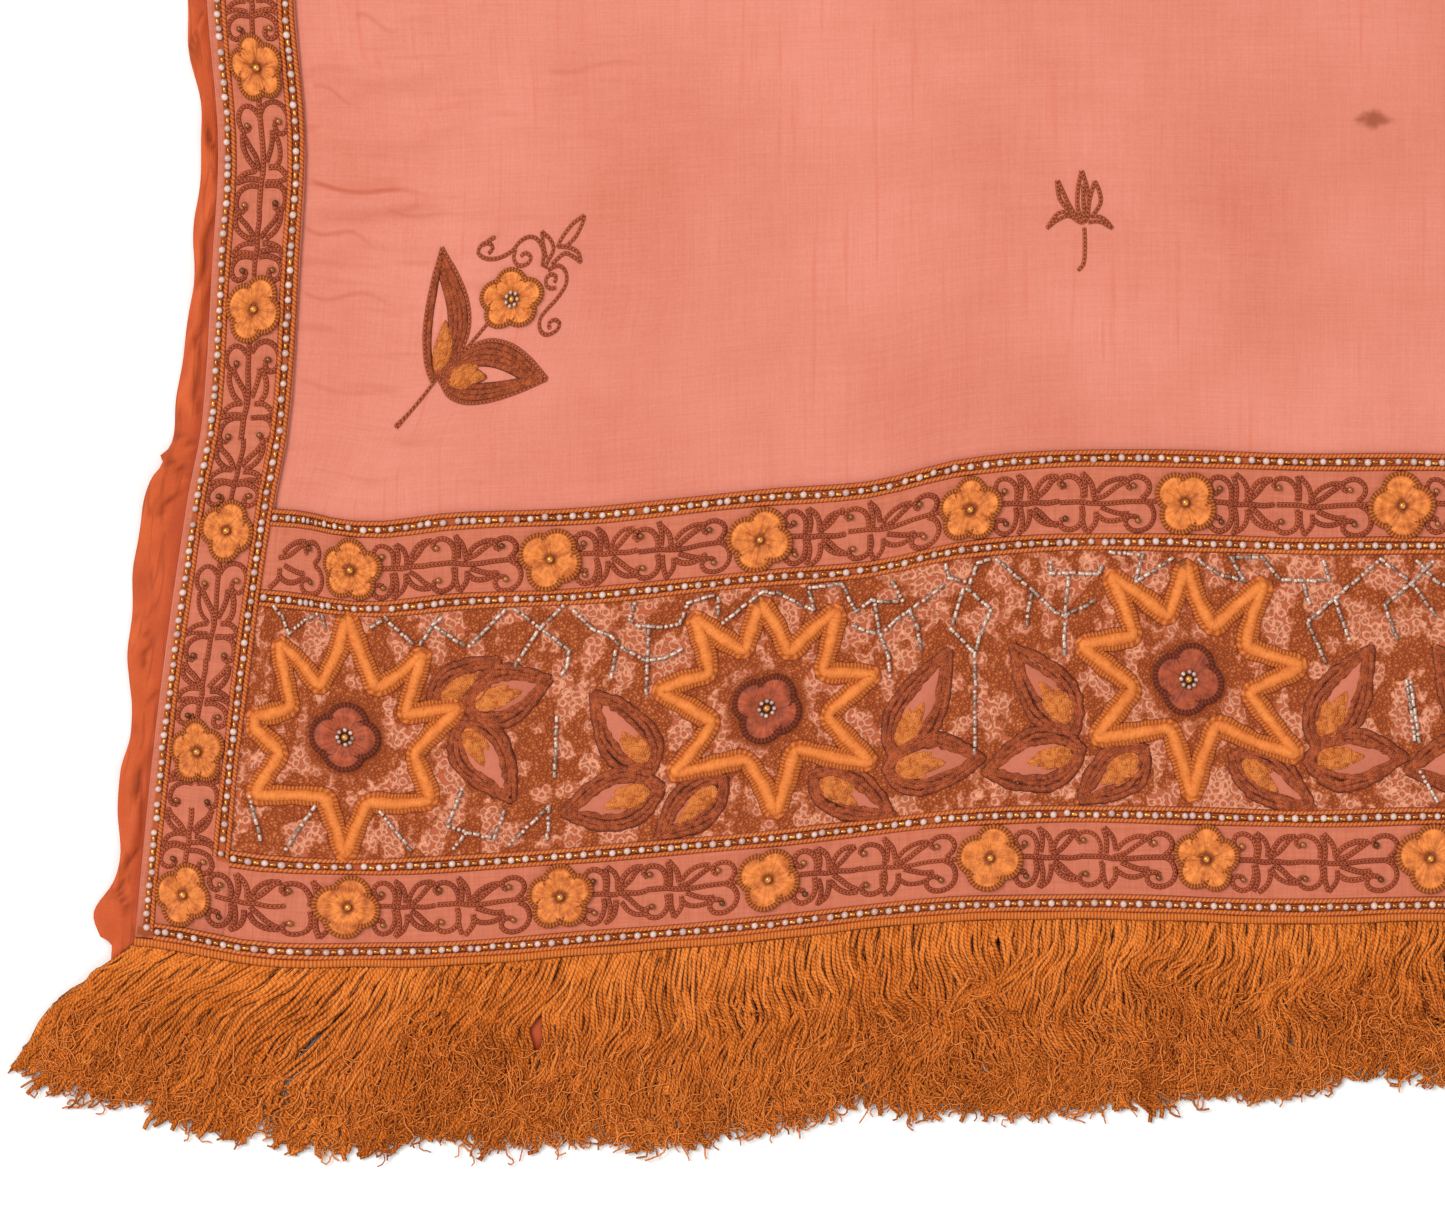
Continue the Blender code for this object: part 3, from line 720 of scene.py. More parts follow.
@dataclass(frozen=True)
class GroundFinish:
    """Ground of the borders: pink cloth under the bands, knots and curls round the stars."""

    pink_light: Colour = srgb(206, 121, 94)
    pink_dark: Colour = srgb(175, 89, 62)
    rust: Colour = srgb(192, 98, 48)
    rust_light: Colour = srgb(218, 130, 78)
    rust_dark: Colour = srgb(142, 60, 20)
    curl_light: Colour = srgb(236, 160, 126)
    curl_dark: Colour = srgb(178, 88, 54)
    trench_shade: Colour = srgb(166, 76, 24)
    panel_along: tuple[float, float] = (29.4, 106.0)
    panel_across: float = 35.2

    def make(self) -> Material:
        """Build the nodes.

        Returns:
            The material.
        """
        shader = Shader("border_ground")
        flat = shader.own_place()
        across, along, _ = shader.split(flat)
        first, last = self.panel_along
        in_panel = self._between(along, first, last)
        far_panel = self._between(along, CUT.length - last, CUT.length - first)
        inside = self._between(across, self.panel_across, CUT.width - self.panel_across)
        panel = (in_panel + far_panel) * inside
        weave = shader.noise(flat, (1.6, 0.1, 1.0), 3.0, 0.6) * 0.5
        weave = weave + shader.noise(flat, (0.1, 1.6, 1.0), 3.0, 0.6) * 0.5
        plain = shader.mix(weave * 2.0 - 0.5, self.pink_dark, self.pink_light)
        distort = shader.noise(flat, 0.5, 2.0)
        patch = shader.noise(flat, (0.17, 0.13, 1.0), 1.5, 0.45)
        patch = patch + distort * 0.08
        pinks = patch.step(0.52, 0.60)
        lag = shader.math(
            "FRACT", (across - (CUT.star_first - CUT.star_pitch / 2.0)) / CUT.star_pitch
        ) * CUT.star_pitch - CUT.star_pitch / 2.0
        near_star = (lag * lag + (along - CUT.star_row) * (along - CUT.star_row)) ** 0.5
        pinks = pinks * near_star.step(11.0, 14.0)
        knot, knot_tint = shader.cells(flat, 0.95)
        dome = knot.step(0.62, 0.1)
        tint = Value(shader, shader.node("ShaderNodeSeparateColor", None, {0: knot_tint}).outputs[0])
        broad = shader.noise(flat, 0.3, 2.0)
        # Painted shading: each knot is lighter on its dome, darker at its foot; tint is random.
        knots = shader.mix(dome * 0.8 + tint * 0.45 + broad * 0.5 - 0.5, self.rust_dark, self.rust)
        # rust_light is a painted highlight on the tops of some knots.
        knots = shader.mix(
            dome * tint.step(0.5, 0.9) * broad.step(0.35, 0.65) * 0.7, knots, self.rust_light
        )
        bent = shader.node(
            "ShaderNodeVectorMath", {"operation": "ADD"},
            {0: flat, 1: shader.join(distort * 1.6, distort * -1.3)},
        ).outputs[0]
        ring, _ = shader.cells(bent, 0.4)
        curl = 1.0 - ((ring - 0.42) / 0.2).size().clamp()
        squiggle = shader.noise(flat, 0.4, 0.0)
        line = 1.0 - ((squiggle - 0.5) / 0.07).size().clamp()
        curl = shader.math("MAXIMUM", curl, line)
        curls = shader.mix(curl.step(0.05, 0.75), self.curl_dark, self.curl_light)
        worked = shader.mix(pinks * 0.9, knots, curls)
        worked = shader.mix(near_star.step(15.0, 9.0) * 0.6, worked, self.rust_dark)
        colour = shader.mix(panel, plain, worked)
        # Painted shade under every braid, along its line of pearls.
        trench_shade = self._near(along, CUT.bead_lines, 1.5) * across.step(32.0, 33.5)
        trench_shade = trench_shade * across.step(CUT.width - 32.0, CUT.width - 33.5)
        seam = self._near(along, CUT.bead_lines[:1], 1.5)
        outer = self._near(across, (CUT.outer_beads, CUT.width - CUT.outer_beads), 1.1)
        inner = self._near(across, (CUT.inner_beads, CUT.width - CUT.inner_beads), 1.5)
        low = CUT.bead_lines[1]
        inner = inner * along.step(low - 1.5, low) * along.step(
            CUT.length - low + 1.5, CUT.length - low
        )
        dark = (trench_shade + seam + outer + inner).clamp()
        colour = shader.mix(dark * 0.85, colour, self.trench_shade)
        height = panel * (pinks * curl + (1.0 - pinks) * dome) + (1.0 - panel) * weave * 0.3
        return shader.finish(
            base_color=colour, roughness=0.7, sheen_weight=0.05, specular_ior_level=0.2,
            normal=shader.bump(height, 0.0006, 0.8),
        )

    @staticmethod
    def _between(place: Value, first: float, last: float) -> Value:
        """Return 1 between two lines, with a soft edge of a millimetre."""
        return place.step(first, first + 1.0) * place.step(last, last - 1.0)

    @staticmethod
    def _near(place: Value, lines: Sequence[float], half: float) -> Value:
        """Return 1 near any of some lines, or their match on the far half.

        Args:
            place: Across or along.
            lines: The lines; a pair already holds both halves' lines.
            half: The half width of what is near.

        Returns:
            The share.
        """
        total: Number = 0.0
        for line in lines:
            for at in (line, CUT.length - line) if len(lines) != 2 else (line,):
                total = total + (place - at).size().step(half, half - 0.5)
        return total


@dataclass(frozen=True)
class ChainFinish:
    """Chain stitch: dark holes between raised links of thread."""

    name: str
    thread: Colour
    shadow: Colour
    glint: Colour
    pitch: float = 1.15

    def make(self) -> Material:
        """Build the nodes.

        Returns:
            The material.
        """
        shader = Shader(self.name)
        run = shader.own("run")
        side = shader.own("round")
        tone = shader.own("tone")
        share = shader.math("FRACT", run / self.pitch + side * side * 0.35)
        off = (share - 0.5) * 2.0
        hole = (off * off * 1.3 + side * side * 3.2).step(0.85, 0.1)
        gap = off.size().step(0.7, 1.0) * side.size().step(0.2, 0.6)
        dark = (hole * 0.95 + gap * 0.6).clamp()
        fray = shader.noise(shader.own_place(), 1.1, 2.0)
        colour = shader.mix(fray * 1.2 + tone * 0.5 - 0.4, self.thread, self.glint)
        colour = shader.mix(dark, colour, self.shadow)
        height = 1.0 - dark + fray * 0.3
        return shader.finish(
            base_color=colour, roughness=0.55, sheen_weight=0.05, specular_ior_level=0.3,
            normal=shader.bump(height, 0.0004, 0.8),
        )


@dataclass(frozen=True)
class KnotFinish:
    """Little loops of thread, sewn close together."""

    name: str
    light: Colour
    middle: Colour
    dark: Colour
    size: float = 1.05

    def make(self) -> Material:
        """Build the nodes.

        Returns:
            The material.
        """
        shader = Shader(self.name)
        flat = shader.own_place()
        ring, tint = shader.cells(flat, 1.0 / self.size)
        loop = 1.0 - ((ring - 0.34) / 0.24).size().clamp()
        tint = Value(shader, shader.node("ShaderNodeSeparateColor", None, {0: tint}).outputs[0])
        fray = shader.noise(flat, 1.5, 2.0)
        cloud = shader.noise(flat, 0.3, 2.0)
        shade = loop * 0.55 + tint * 0.35 + fray * 0.5 + cloud * 0.7 - 0.65
        colour = shader.ramp(
            shade, ((0.0, self.dark), (0.4, self.middle), (0.9, self.light))
        )
        return shader.finish(
            base_color=colour, roughness=0.6, sheen_weight=0.05, specular_ior_level=0.2,
            normal=shader.bump(loop * 0.7 + fray * 0.3, 0.0006, 0.8),
        )


@dataclass(frozen=True)
class LoopFinish:
    """Buttonhole loops or a twisted rope: slanting ticks across the run."""

    name: str
    thread: Colour
    shadow: Colour
    glint: Colour
    pitch: float = 1.0
    slant: float = 0.25

    def make(self) -> Material:
        """Build the nodes.

        Returns:
            The material.
        """
        shader = Shader(self.name)
        run = shader.own("run")
        side = shader.own("round")
        loop = (run + side * self.slant).wave(self.pitch)
        fray = shader.noise(shader.own_place(), 0.9, 2.0)
        colour = shader.mix(
            fray * 1.2 + shader.own("tone") * 0.4 - 0.4, self.thread, self.glint
        )
        dark = loop.step(0.4, 0.08) * 0.8 + side.size().step(0.75, 1.0) * 0.35
        colour = shader.mix(dark.clamp(), colour, self.shadow)
        return shader.finish(
            base_color=colour, roughness=0.55, sheen_weight=0.05, specular_ior_level=0.3,
            normal=shader.bump(loop, 0.0004, 0.7),
        )


@dataclass(frozen=True)
class SatinFinish:
    """Satin stitch that runs out from a flower's middle, with a stitched rim."""

    name: str
    light: Colour
    dark: Colour
    rim: Colour
    tick_shade: Colour
    middle: float = -0.73

    def make(self) -> Material:
        """Build the nodes.

        Returns:
            The material.
        """
        shader = Shader(self.name)
        own = shader.own_place("own")
        x, y, _ = shader.split(own)
        reach = (x * x + y * y) ** 0.5
        turn = shader.math("ARCTAN2", y, x)
        from_middle = ((x - self.middle) * (x - self.middle) + y * y) ** 0.5
        bearing = shader.math("ARCTAN2", y, x - self.middle)
        lanes = shader.join(bearing * 7.5, from_middle * 1.2, shader.own("tone") * 9.0)
        streak = shader.noise(lanes, 1.0, 2.0, 0.6)
        folds = shader.join(bearing * 1.3, from_middle * 2.6, shader.own("tone") * 17.0)
        ruffle = shader.noise(folds, 1.0, 2.0, 0.6)
        cloud = shader.noise(shader.own_place(), 0.3, 2.0)
        # The ruffle noise is painted shading of the satin's folds; the streaks and cloud vary its tone.
        tone = streak * 1.5 + cloud * 0.9 + ruffle * 1.7 - 1.55
        colour = shader.mix(tone, self.dark, self.light)
        # Painted shade in the slits between petals and in the hollow at the flower's middle.
        slit = streak.step(0.36, 0.26) * from_middle.step(1.1, 0.4)
        colour = shader.mix(slit * 0.8, colour, self.tick_shade)
        colour = shader.mix(from_middle.step(0.42, 0.2) * 0.85, colour, self.tick_shade)
        rim = reach.step(0.68, 0.78) * x.step(-0.5, 0.0)
        # The rim's stitches alternate with painted shade between them.
        ticks = turn.wave(TURN / 30.0)
        edge = shader.mix(ticks.step(0.15, 0.6), self.tick_shade, self.rim)
        colour = shader.mix(rim * 0.9, colour, edge)
        height = (streak * 0.6 + ruffle) * (1.0 - rim) + ticks * rim
        return shader.finish(
            base_color=colour, roughness=0.5, sheen_weight=0.05, specular_ior_level=0.3,
            normal=shader.bump(height, 0.0008, 0.9),
        )


@dataclass(frozen=True)
class CordFinish:
    """Couched satin cord with looped edges."""

    light: Colour = srgb(244, 144, 66)
    dark: Colour = srgb(190, 90, 26)
    loop: Colour = srgb(218, 116, 44)
    tick_shade: Colour = srgb(176, 82, 22)

    def make(self) -> Material:
        """Build the nodes.

        Returns:
            The material.
        """
        shader = Shader("star_cord")
        run = shader.own("run")
        lean = shader.own("round")
        side = lean.size()
        wander = shader.noise(shader.own_place(), 0.7, 3.0) * 0.36 - 0.18
        streak = shader.noise(shader.join(run * 1.5 + lean * 0.8, lean * 1.2, 0.0), 1.0, 3.0, 0.7)
        cloud = shader.noise(shader.own_place(), 0.25, 2.0)
        # Painted shading of the round cord: darker towards its sides.
        tone = streak * 1.4 + cloud * 0.8 - 0.5 - side * 0.55
        core = shader.mix(tone, self.dark, self.light)
        # The loops alternate with ticks of painted shade between them.
        tooth = (run + side * 0.45).wave(1.05)
        loops = shader.mix(tooth.step(0.2, 0.75), self.tick_shade, self.loop)
        edge = (side + wander).step(0.46, 0.58)
        colour = shader.mix(edge, core, loops)
        # Painted shade in the trough between the core and the loops, and at the outer edges.
        trough = (side + wander).step(0.42, 0.52) * (side + wander).step(0.66, 0.56)
        colour = shader.mix(trough * 0.35 + side.step(0.88, 1.0) * 0.2, colour, self.tick_shade)
        height = (1.0 - edge) * streak + edge * tooth - trough * 0.5
        return shader.finish(
            base_color=colour, roughness=0.55, sheen_weight=0.05, specular_ior_level=0.25,
            normal=shader.bump(height, 0.0006, 0.8),
        )


@dataclass(frozen=True)
class FringeFinish:
    """Fine silky crimped thread, several lying side by side in a strand."""

    name: str
    threads: int
    light: Colour = srgb(244, 146, 68)
    middle: Colour = srgb(206, 106, 32)
    dark: Colour = srgb(138, 60, 6)

    def make(self) -> Material:
        """Build the nodes.

        Returns:
            The material.
        """
        shader = Shader(self.name)
        run = shader.own("run")
        tone = shader.own("tone")
        waver = shader.noise(shader.join(run * 0.34, tone * 30.0, 0.0), 1.0, 1.0) * 2.2 - 1.1
        lane = (shader.own("round") * 0.5 + 0.5) * self.threads + waver
        number = shader.math("FLOOR", lane)
        off = (shader.math("FRACT", lane) - 0.5) * 2.0
        bulge = 1.0 - off * off
        crimp = (run + number * 0.37 + tone * 17.0 + off * 0.2).wave(1.25)
        drift = shader.noise(shader.join(run * 0.09, number * 3.1, tone * 40.0), 1.0, 2.0)
        root = run.step(30.0, 0.0)
        # Painted shading: lanes lighter in the middle, darker at the edges; crimp paints highlights.
        shade = tone * 0.8 + bulge * 0.36 + crimp * 0.44 + drift * 1.1 - 1.03
        # Near the root the thread is lighter and the painted shade at the lane edges weaker.
        shade = shade + root * (0.14 + (1.0 - bulge) * 0.2)
        colour = shader.ramp(
            shade, ((0.0, self.dark), (0.45, self.middle), (0.95, self.light))
        )
        height = bulge * 0.7 + crimp * 0.4
        return shader.finish(
            base_color=colour, roughness=0.5, sheen_weight=0.05, specular_ior_level=0.3,
            specular_tint=self.light, normal=shader.bump(height, 0.0003, 0.7),
        )


@dataclass(frozen=True)
class BeadFinish:
    """A smooth surface of one colour: a bead, or the plain cloth under a leaf."""

    name: str
    light: Colour
    dark: Colour
    metal: float
    roughness: float
    coat: float = 0.0

    def make(self) -> Material:
        """Build the nodes.

        Returns:
            The material.
        """
        shader = Shader(self.name)
        tone = shader.own("tone")
        cloud = shader.noise(shader.own_place(), 0.9, 2.0)
        colour = shader.mix(tone * 0.7 + cloud * 0.5 - 0.1, self.dark, self.light)
        return shader.finish(
            base_color=colour, roughness=self.roughness, metallic=self.metal,
            coat_weight=self.coat, coat_roughness=0.08,
        )


@dataclass(frozen=True)
class Finishes:
    """Every finish of the dupatta."""

    made: dict[str, Material] = field(default_factory=dict)

    def get(self, key: str) -> Material:
        """Return a finish, made once.

        Args:
            key: Its name.

        Returns:
            Its material.
        """
        if key not in self.made:
            self.made[key] = self._book()[key].make()
        return self.made[key]

    @staticmethod
    def _book() -> dict[str, object]:
        """Return the finishes by name.

        Returns:
            What makes each material.
        """
        return {
            "lining": LiningFinish(),
            "face": FaceFinish(),
            "ground": GroundFinish(),
            "chain": ChainFinish(
                "chain_rust", srgb(160, 64, 26), srgb(76, 22, 2), srgb(206, 98, 48), 1.1
            ),
            "field_chain": ChainFinish(
                "chain_field", srgb(166, 72, 32), srgb(84, 26, 4), srgb(208, 106, 58), 1.35
            ),
            "knots": KnotFinish(
                "knots_rust", srgb(212, 108, 60), srgb(172, 80, 42), srgb(122, 50, 20)
            ),
            "rope": LoopFinish(
                "rope_orange", srgb(206, 98, 32), srgb(142, 56, 10), srgb(232, 136, 66), 1.25,
                0.5,
            ),
            "header": LoopFinish(
                "header_loops", srgb(206, 102, 24), srgb(136, 56, 6), srgb(228, 130, 46), 1.0,
                0.05,
            ),
            "petal": SatinFinish(
                "petal_gold", srgb(238, 138, 60), srgb(170, 78, 16), srgb(206, 108, 38),
                srgb(136, 58, 8),
            ),
            "rust_petal": SatinFinish(
                "petal_rust", srgb(178, 78, 40), srgb(120, 46, 18), srgb(130, 50, 22),
                srgb(86, 30, 8),
            ),
            "leaf_core": KnotFinish(
                "leaf_core_gold", srgb(246, 156, 84), srgb(222, 122, 52), srgb(164, 76, 20)
            ),
            "leaf_cloth": BeadFinish(
                "leaf_cloth_pink", srgb(204, 116, 90), srgb(166, 84, 56), 0.0, 0.8
            ),
            "cord": CordFinish(),
            "fringe": FringeFinish("fringe_silk", 3),
            "fringe_wide": FringeFinish("fringe_silk_wide", 5),
            "fringe_fine": FringeFinish("fringe_silk_fine", 1),
            "pearl": BeadFinish(
                "pearl", srgb(224, 198, 186), srgb(180, 142, 130), 0.0, 0.22, 0.6
            ),
            "gold": BeadFinish("gold_lined", srgb(248, 178, 92), srgb(150, 74, 20), 0.8, 0.24),
            "silver": BeadFinish(
                "silver_lined", srgb(228, 202, 186), srgb(104, 70, 52), 0.3, 0.26
            ),
            "bronze": BeadFinish("bronze_seed", srgb(190, 124, 70), srgb(88, 44, 20), 0.7, 0.28),
        }


FINISH = Finishes()


def add_object(name: str, data: ID) -> Object:
    """Add an object to the scene.

    Args:
        name: Its name.
        data: The mesh, curve, light or camera that it shows.

    Returns:
        The object.
    """
    made = bpy.data.objects.new(name, data)
    bpy.context.scene.collection.objects.link(made)
    return made


def store(mesh: Mesh, name: str, values: Array) -> None:
    """Keep numbers or places on a mesh's points.

    Args:
        mesh: The mesh.
        name: The attribute's name.
        values: One number or one place for each point.
    """
    kind = "FLOAT_VECTOR" if values.ndim == 2 else "FLOAT"
    layer = mesh.attributes.new(name, kind, "POINT")
    layer.data.foreach_set("vector" if values.ndim == 2 else "value", values.astype(np.float32).ravel())


def points_of(mesh: Mesh) -> Array:
    """Return a mesh's points.

    Args:
        mesh: The mesh.

    Returns:
        One row for each point.
    """
    flat = np.empty(len(mesh.vertices) * 3)
    mesh.vertices.foreach_get("co", flat)
    return flat.reshape(-1, 3)


def add_piece(name: str, mesh: Mesh, finish: str, half: Half = Half.NEAR) -> Object:
    """Lay a flat mesh where the cloth lies and make it a piece.

    Args:
        name: The piece's name.
        mesh: Its mesh, in flat millimetres.
        finish: Its finish, by name.
        half: FAR gives it half a turn first.

    Returns:
        The piece.
    """
    flat = points_of(mesh)
    store(mesh, "flat", flat)
    if half is Half.FAR:
        flat = flat.copy()
        flat[:, 0] = CUT.width - flat[:, 0]
        flat[:, 1] = CUT.length - flat[:, 1]
    mesh.vertices.foreach_set("co", LAYING.place(flat).ravel())
    mesh.polygons.foreach_set("use_smooth", np.ones(len(mesh.polygons), dtype=bool))
    mesh.materials.clear()
    mesh.materials.append(FINISH.get(finish))
    mesh.update()
    mesh.name = name
    piece = add_object(name, mesh)
    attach(piece, "root")
    count = sum(len(polygon.vertices) - 2 for polygon in mesh.polygons)
    LOG.info("%s: %d triangles", name, count)
    return piece


def through(points: Rows, step: float, closed: bool = False) -> Array:
    """Sample a soft curve through hand-placed points.

    Args:
        points: The points, in flat millimetres.
        step: The distance between samples.
        closed: Whether the curve comes back to its start.

    Returns:
        The samples; a closed curve doesn't repeat its first.
    """
    given = np.asarray(points, float)
    if closed:
        ring = np.vstack((given[-1:], given, given[:2]))
    else:
        ring = np.vstack((2 * given[:1] - given[1:2], given, 2 * given[-1:] - given[-2:-1]))
    t = np.linspace(0.0, 1.0, 8, endpoint=False)[:, None]
    dense = []
    for a, b, c, d in zip(ring, ring[1:], ring[2:], ring[3:]):
        bend = (2 * a - 5 * b + 4 * c - d) * t ** 2 + (3 * b - a - 3 * c + d) * t ** 3
        dense.append(0.5 * (2 * b + (c - a) * t + bend))
    dense = np.vstack((*dense, ring[-2:-1]))
    return resample(dense, step, closed)


def resample(dense: Array, step: float, closed: bool = False) -> Array:
    """Sample a line at equal distances of about one step.

    Args:
        dense: Close points of the line.
        step: Distance between two samples.
        closed: Whether the line ends where it starts.

    Returns:
        The samples, on a closed line without the last one.
    """
    parts = np.linalg.norm(np.diff(dense, axis=0), axis=1)
    length = np.concatenate(([0.0], np.cumsum(parts)))
    count = max(3, round(length[-1] / step) + 1)
    at = np.linspace(0.0, length[-1], count)
    sampled = np.column_stack([np.interp(at, length, dense[:, k]) for k in range(dense.shape[1])])
    return sampled[:-1] if closed else sampled


def course(start: Array, end: Array) -> tuple[float, Array, Array, float]:
    """Measure a straight line.

    Args:
        start: Its first point.
        end: Its last point.

    Returns:
        Its length, its direction, the direction to its left, and its bearing in radians.
    """
    length = float(np.linalg.norm(end - start))
    way = (end - start) / length
    return length, way, np.array([-way[1], way[0]]), math.atan2(way[1], way[0])


def in_view(across: float, along: float) -> bool:
    """Return whether a flat point lies in the corner that is seen close up."""
    return across < CUT.view_across and along < CUT.view_along


@dataclass
class Strands:
    """Cords or threads of one kind, each swept along its path, in one mesh."""

    section: tuple[tuple[float, float], ...]
    paths: list[Array] = field(default_factory=list)
    sizes: list[Array] = field(default_factory=list)
    tones: list[float] = field(default_factory=list)
    closed: list[bool] = field(default_factory=list)

    def __bool__(self) -> bool:
        """Return whether anything was added."""
        return bool(self.paths)

    @classmethod
    def ridge(cls, half: float, height: float) -> "Strands":
        """Return empty strands of a three-sided section."""
        return cls(((-half, 0.0), (0.0, height), (half, 0.0)))

    def add(
        self, path: Array, level: Union[float, Array],
        size: Union[float, Array] = 1.0, tone: float = 0.5, closed: bool = False,
    ) -> None:
        """Add one cord.

        Args:
            path: Across and along of each point.
            level: Height of the points.
            size: Thickness of the points, as a share of the section.
            tone: The cord's own tone, from 0 to 1.
            closed: Whether it comes back to its start.
        """
        height = np.broadcast_to(np.asarray(level, float), len(path))
        self.paths.append(np.column_stack((path[:, :2], height)))
        self.sizes.append(np.broadcast_to(np.asarray(size, float), len(path)))
        self.tones.append(tone)
        self.closed.append(closed)

    def mesh(self, name: str) -> Mesh:
        """Sweep the section along every path with a curve's bevel.

        Args:
            name: The mesh's name.

        Returns:
            The mesh of every path.
        """
        edge = bpy.data.curves.new(name + "_section", "CURVE")
        edge.dimensions = "2D"
        line = edge.splines.new("POLY")
        line.points.add(len(self.section) - 1)
        line.use_cyclic_u = True
        for point, (x, y) in zip(line.points, self.section):
            point.co = (x, y, 0.0, 1.0)
        edge_object = add_object(edge.name, edge)
        curve = bpy.data.curves.new(name, "CURVE")
        curve.dimensions = "3D"
        curve.twist_mode = "Z_UP"
        curve.bevel_mode = "OBJECT"
        curve.bevel_object = edge_object
        curve.use_fill_caps = True
        for path, size, closed in zip(self.paths, self.sizes, self.closed):
            spline = curve.splines.new("POLY")
            spline.points.add(len(path) - 1)
            spline.use_cyclic_u = closed
            spline.points.foreach_set("co", np.column_stack((path, np.ones(len(path)))).ravel())
            spline.points.foreach_set("radius", size)
        swept = add_object(name, curve)
        bpy.context.view_layer.update()
        depsgraph = bpy.context.evaluated_depsgraph_get()
        mesh = bpy.data.meshes.new_from_object(swept.evaluated_get(depsgraph))
        for made in (swept, edge_object):
            bpy.data.objects.remove(made)
        self._mark(mesh)
        return mesh

    def _mark(self, mesh: Mesh) -> None:
        """Keep on each point its distance along its cord, its side and its cord's tone.

        Args:
            mesh: The swept mesh.
        """
        around = len(self.section)
        half = max(abs(x) for x, _ in self.section)
        sides = np.array([x / half for x, _ in self.section])
        runs, tones, cap_runs, cap_tones = [], [], [], []
        for path, tone, closed in zip(self.paths, self.tones, self.closed):
            parts = np.linalg.norm(np.diff(path, axis=0), axis=1)
            run = np.concatenate(([0.0], np.cumsum(parts)))
            runs.append(np.repeat(run, around))
            tones.append(np.full(len(path) * around, tone))
            if not closed:
                cap_runs.append(np.repeat((run[-1], 0.0), around))
                cap_tones.append(np.full(2 * around, tone))
        run = np.concatenate(cap_runs[::-1] + runs)
        tone = np.concatenate(cap_tones[::-1] + tones)
        if len(run) != len(mesh.vertices):
            raise ValueError("the sweep doesn't have the points that were expected")
        store(mesh, "run", run)
        store(mesh, "tone", tone)
        store(mesh, "round", np.tile(sides, len(run) // around))


@dataclass
class Stamps:
    """Many copies of a few small shapes, joined in one mesh."""

    points: list[Array] = field(default_factory=list)
    faces: list[Array] = field(default_factory=list)
    own: list[Array] = field(default_factory=list)
    tones: list[Array] = field(default_factory=list)
    count: int = 0

    def __bool__(self) -> bool:
        """Return whether anything was added."""
        return bool(self.points)

    def add(
        self, shape: "Shape", place: Sequence[float], size: Sequence[float] = (1.0, 1.0, 1.0),
        turn: float = 0.0, tone: float = 0.5,
    ) -> None:
        """Add one copy, turned about the upright and scaled.

        Args:
            shape: The shape to copy.
            place: Where its origin goes, in flat millimetres.
            size: Its scale before it is turned.
            turn: The turn, in radians.
            tone: The copy's own tone, from 0 to 1.
        """
        local = shape.points * np.asarray(size)
        cos, sin = math.cos(turn), math.sin(turn)
        turned = np.column_stack((
            local[:, 0] * cos - local[:, 1] * sin, local[:, 0] * sin + local[:, 1] * cos, local[:, 2]
        ))
        self.points.append(turned + np.asarray(place))
        self.faces.append(shape.faces + self.count)
        self.own.append(shape.own)
        self.tones.append(np.full(len(local), tone))
        self.count += len(local)

    def mesh(self, name: str) -> Mesh:
        """Join the copies.

        Args:
            name: The mesh's name.

        Returns:
            The mesh of every copy.
        """
        points = np.vstack(self.points)
        faces = np.vstack(self.faces).astype(np.int32)
        mesh = bpy.data.meshes.new(name)
        mesh.vertices.add(len(points))
        mesh.vertices.foreach_set("co", points.ravel())
        mesh.loops.add(len(faces) * 3)
        mesh.loops.foreach_set("vertex_index", faces.ravel())
        mesh.polygons.add(len(faces))
        mesh.polygons.foreach_set("loop_start", np.arange(len(faces), dtype=np.int32) * 3)
        mesh.update(calc_edges=True)
        store(mesh, "own", np.vstack(self.own))
        store(mesh, "tone", np.concatenate(self.tones))
        return mesh


def join_pieces(
    jobs: Sequence[tuple[str, Union[Strands, Stamps], str]], end: str,
    half: Half = Half.NEAR,
) -> list[Object]:
    """Make a piece of each job that has something gathered.

    Args:
        jobs: The start of each piece's name, what was gathered for it, and its finish.
        end: The end of their names.
        half: The half that they lie on.

    Returns:
        The pieces.
    """
    return [
        add_piece(name + end, work.mesh(name + end), finish, half)
        for name, work, finish in jobs if work
    ]


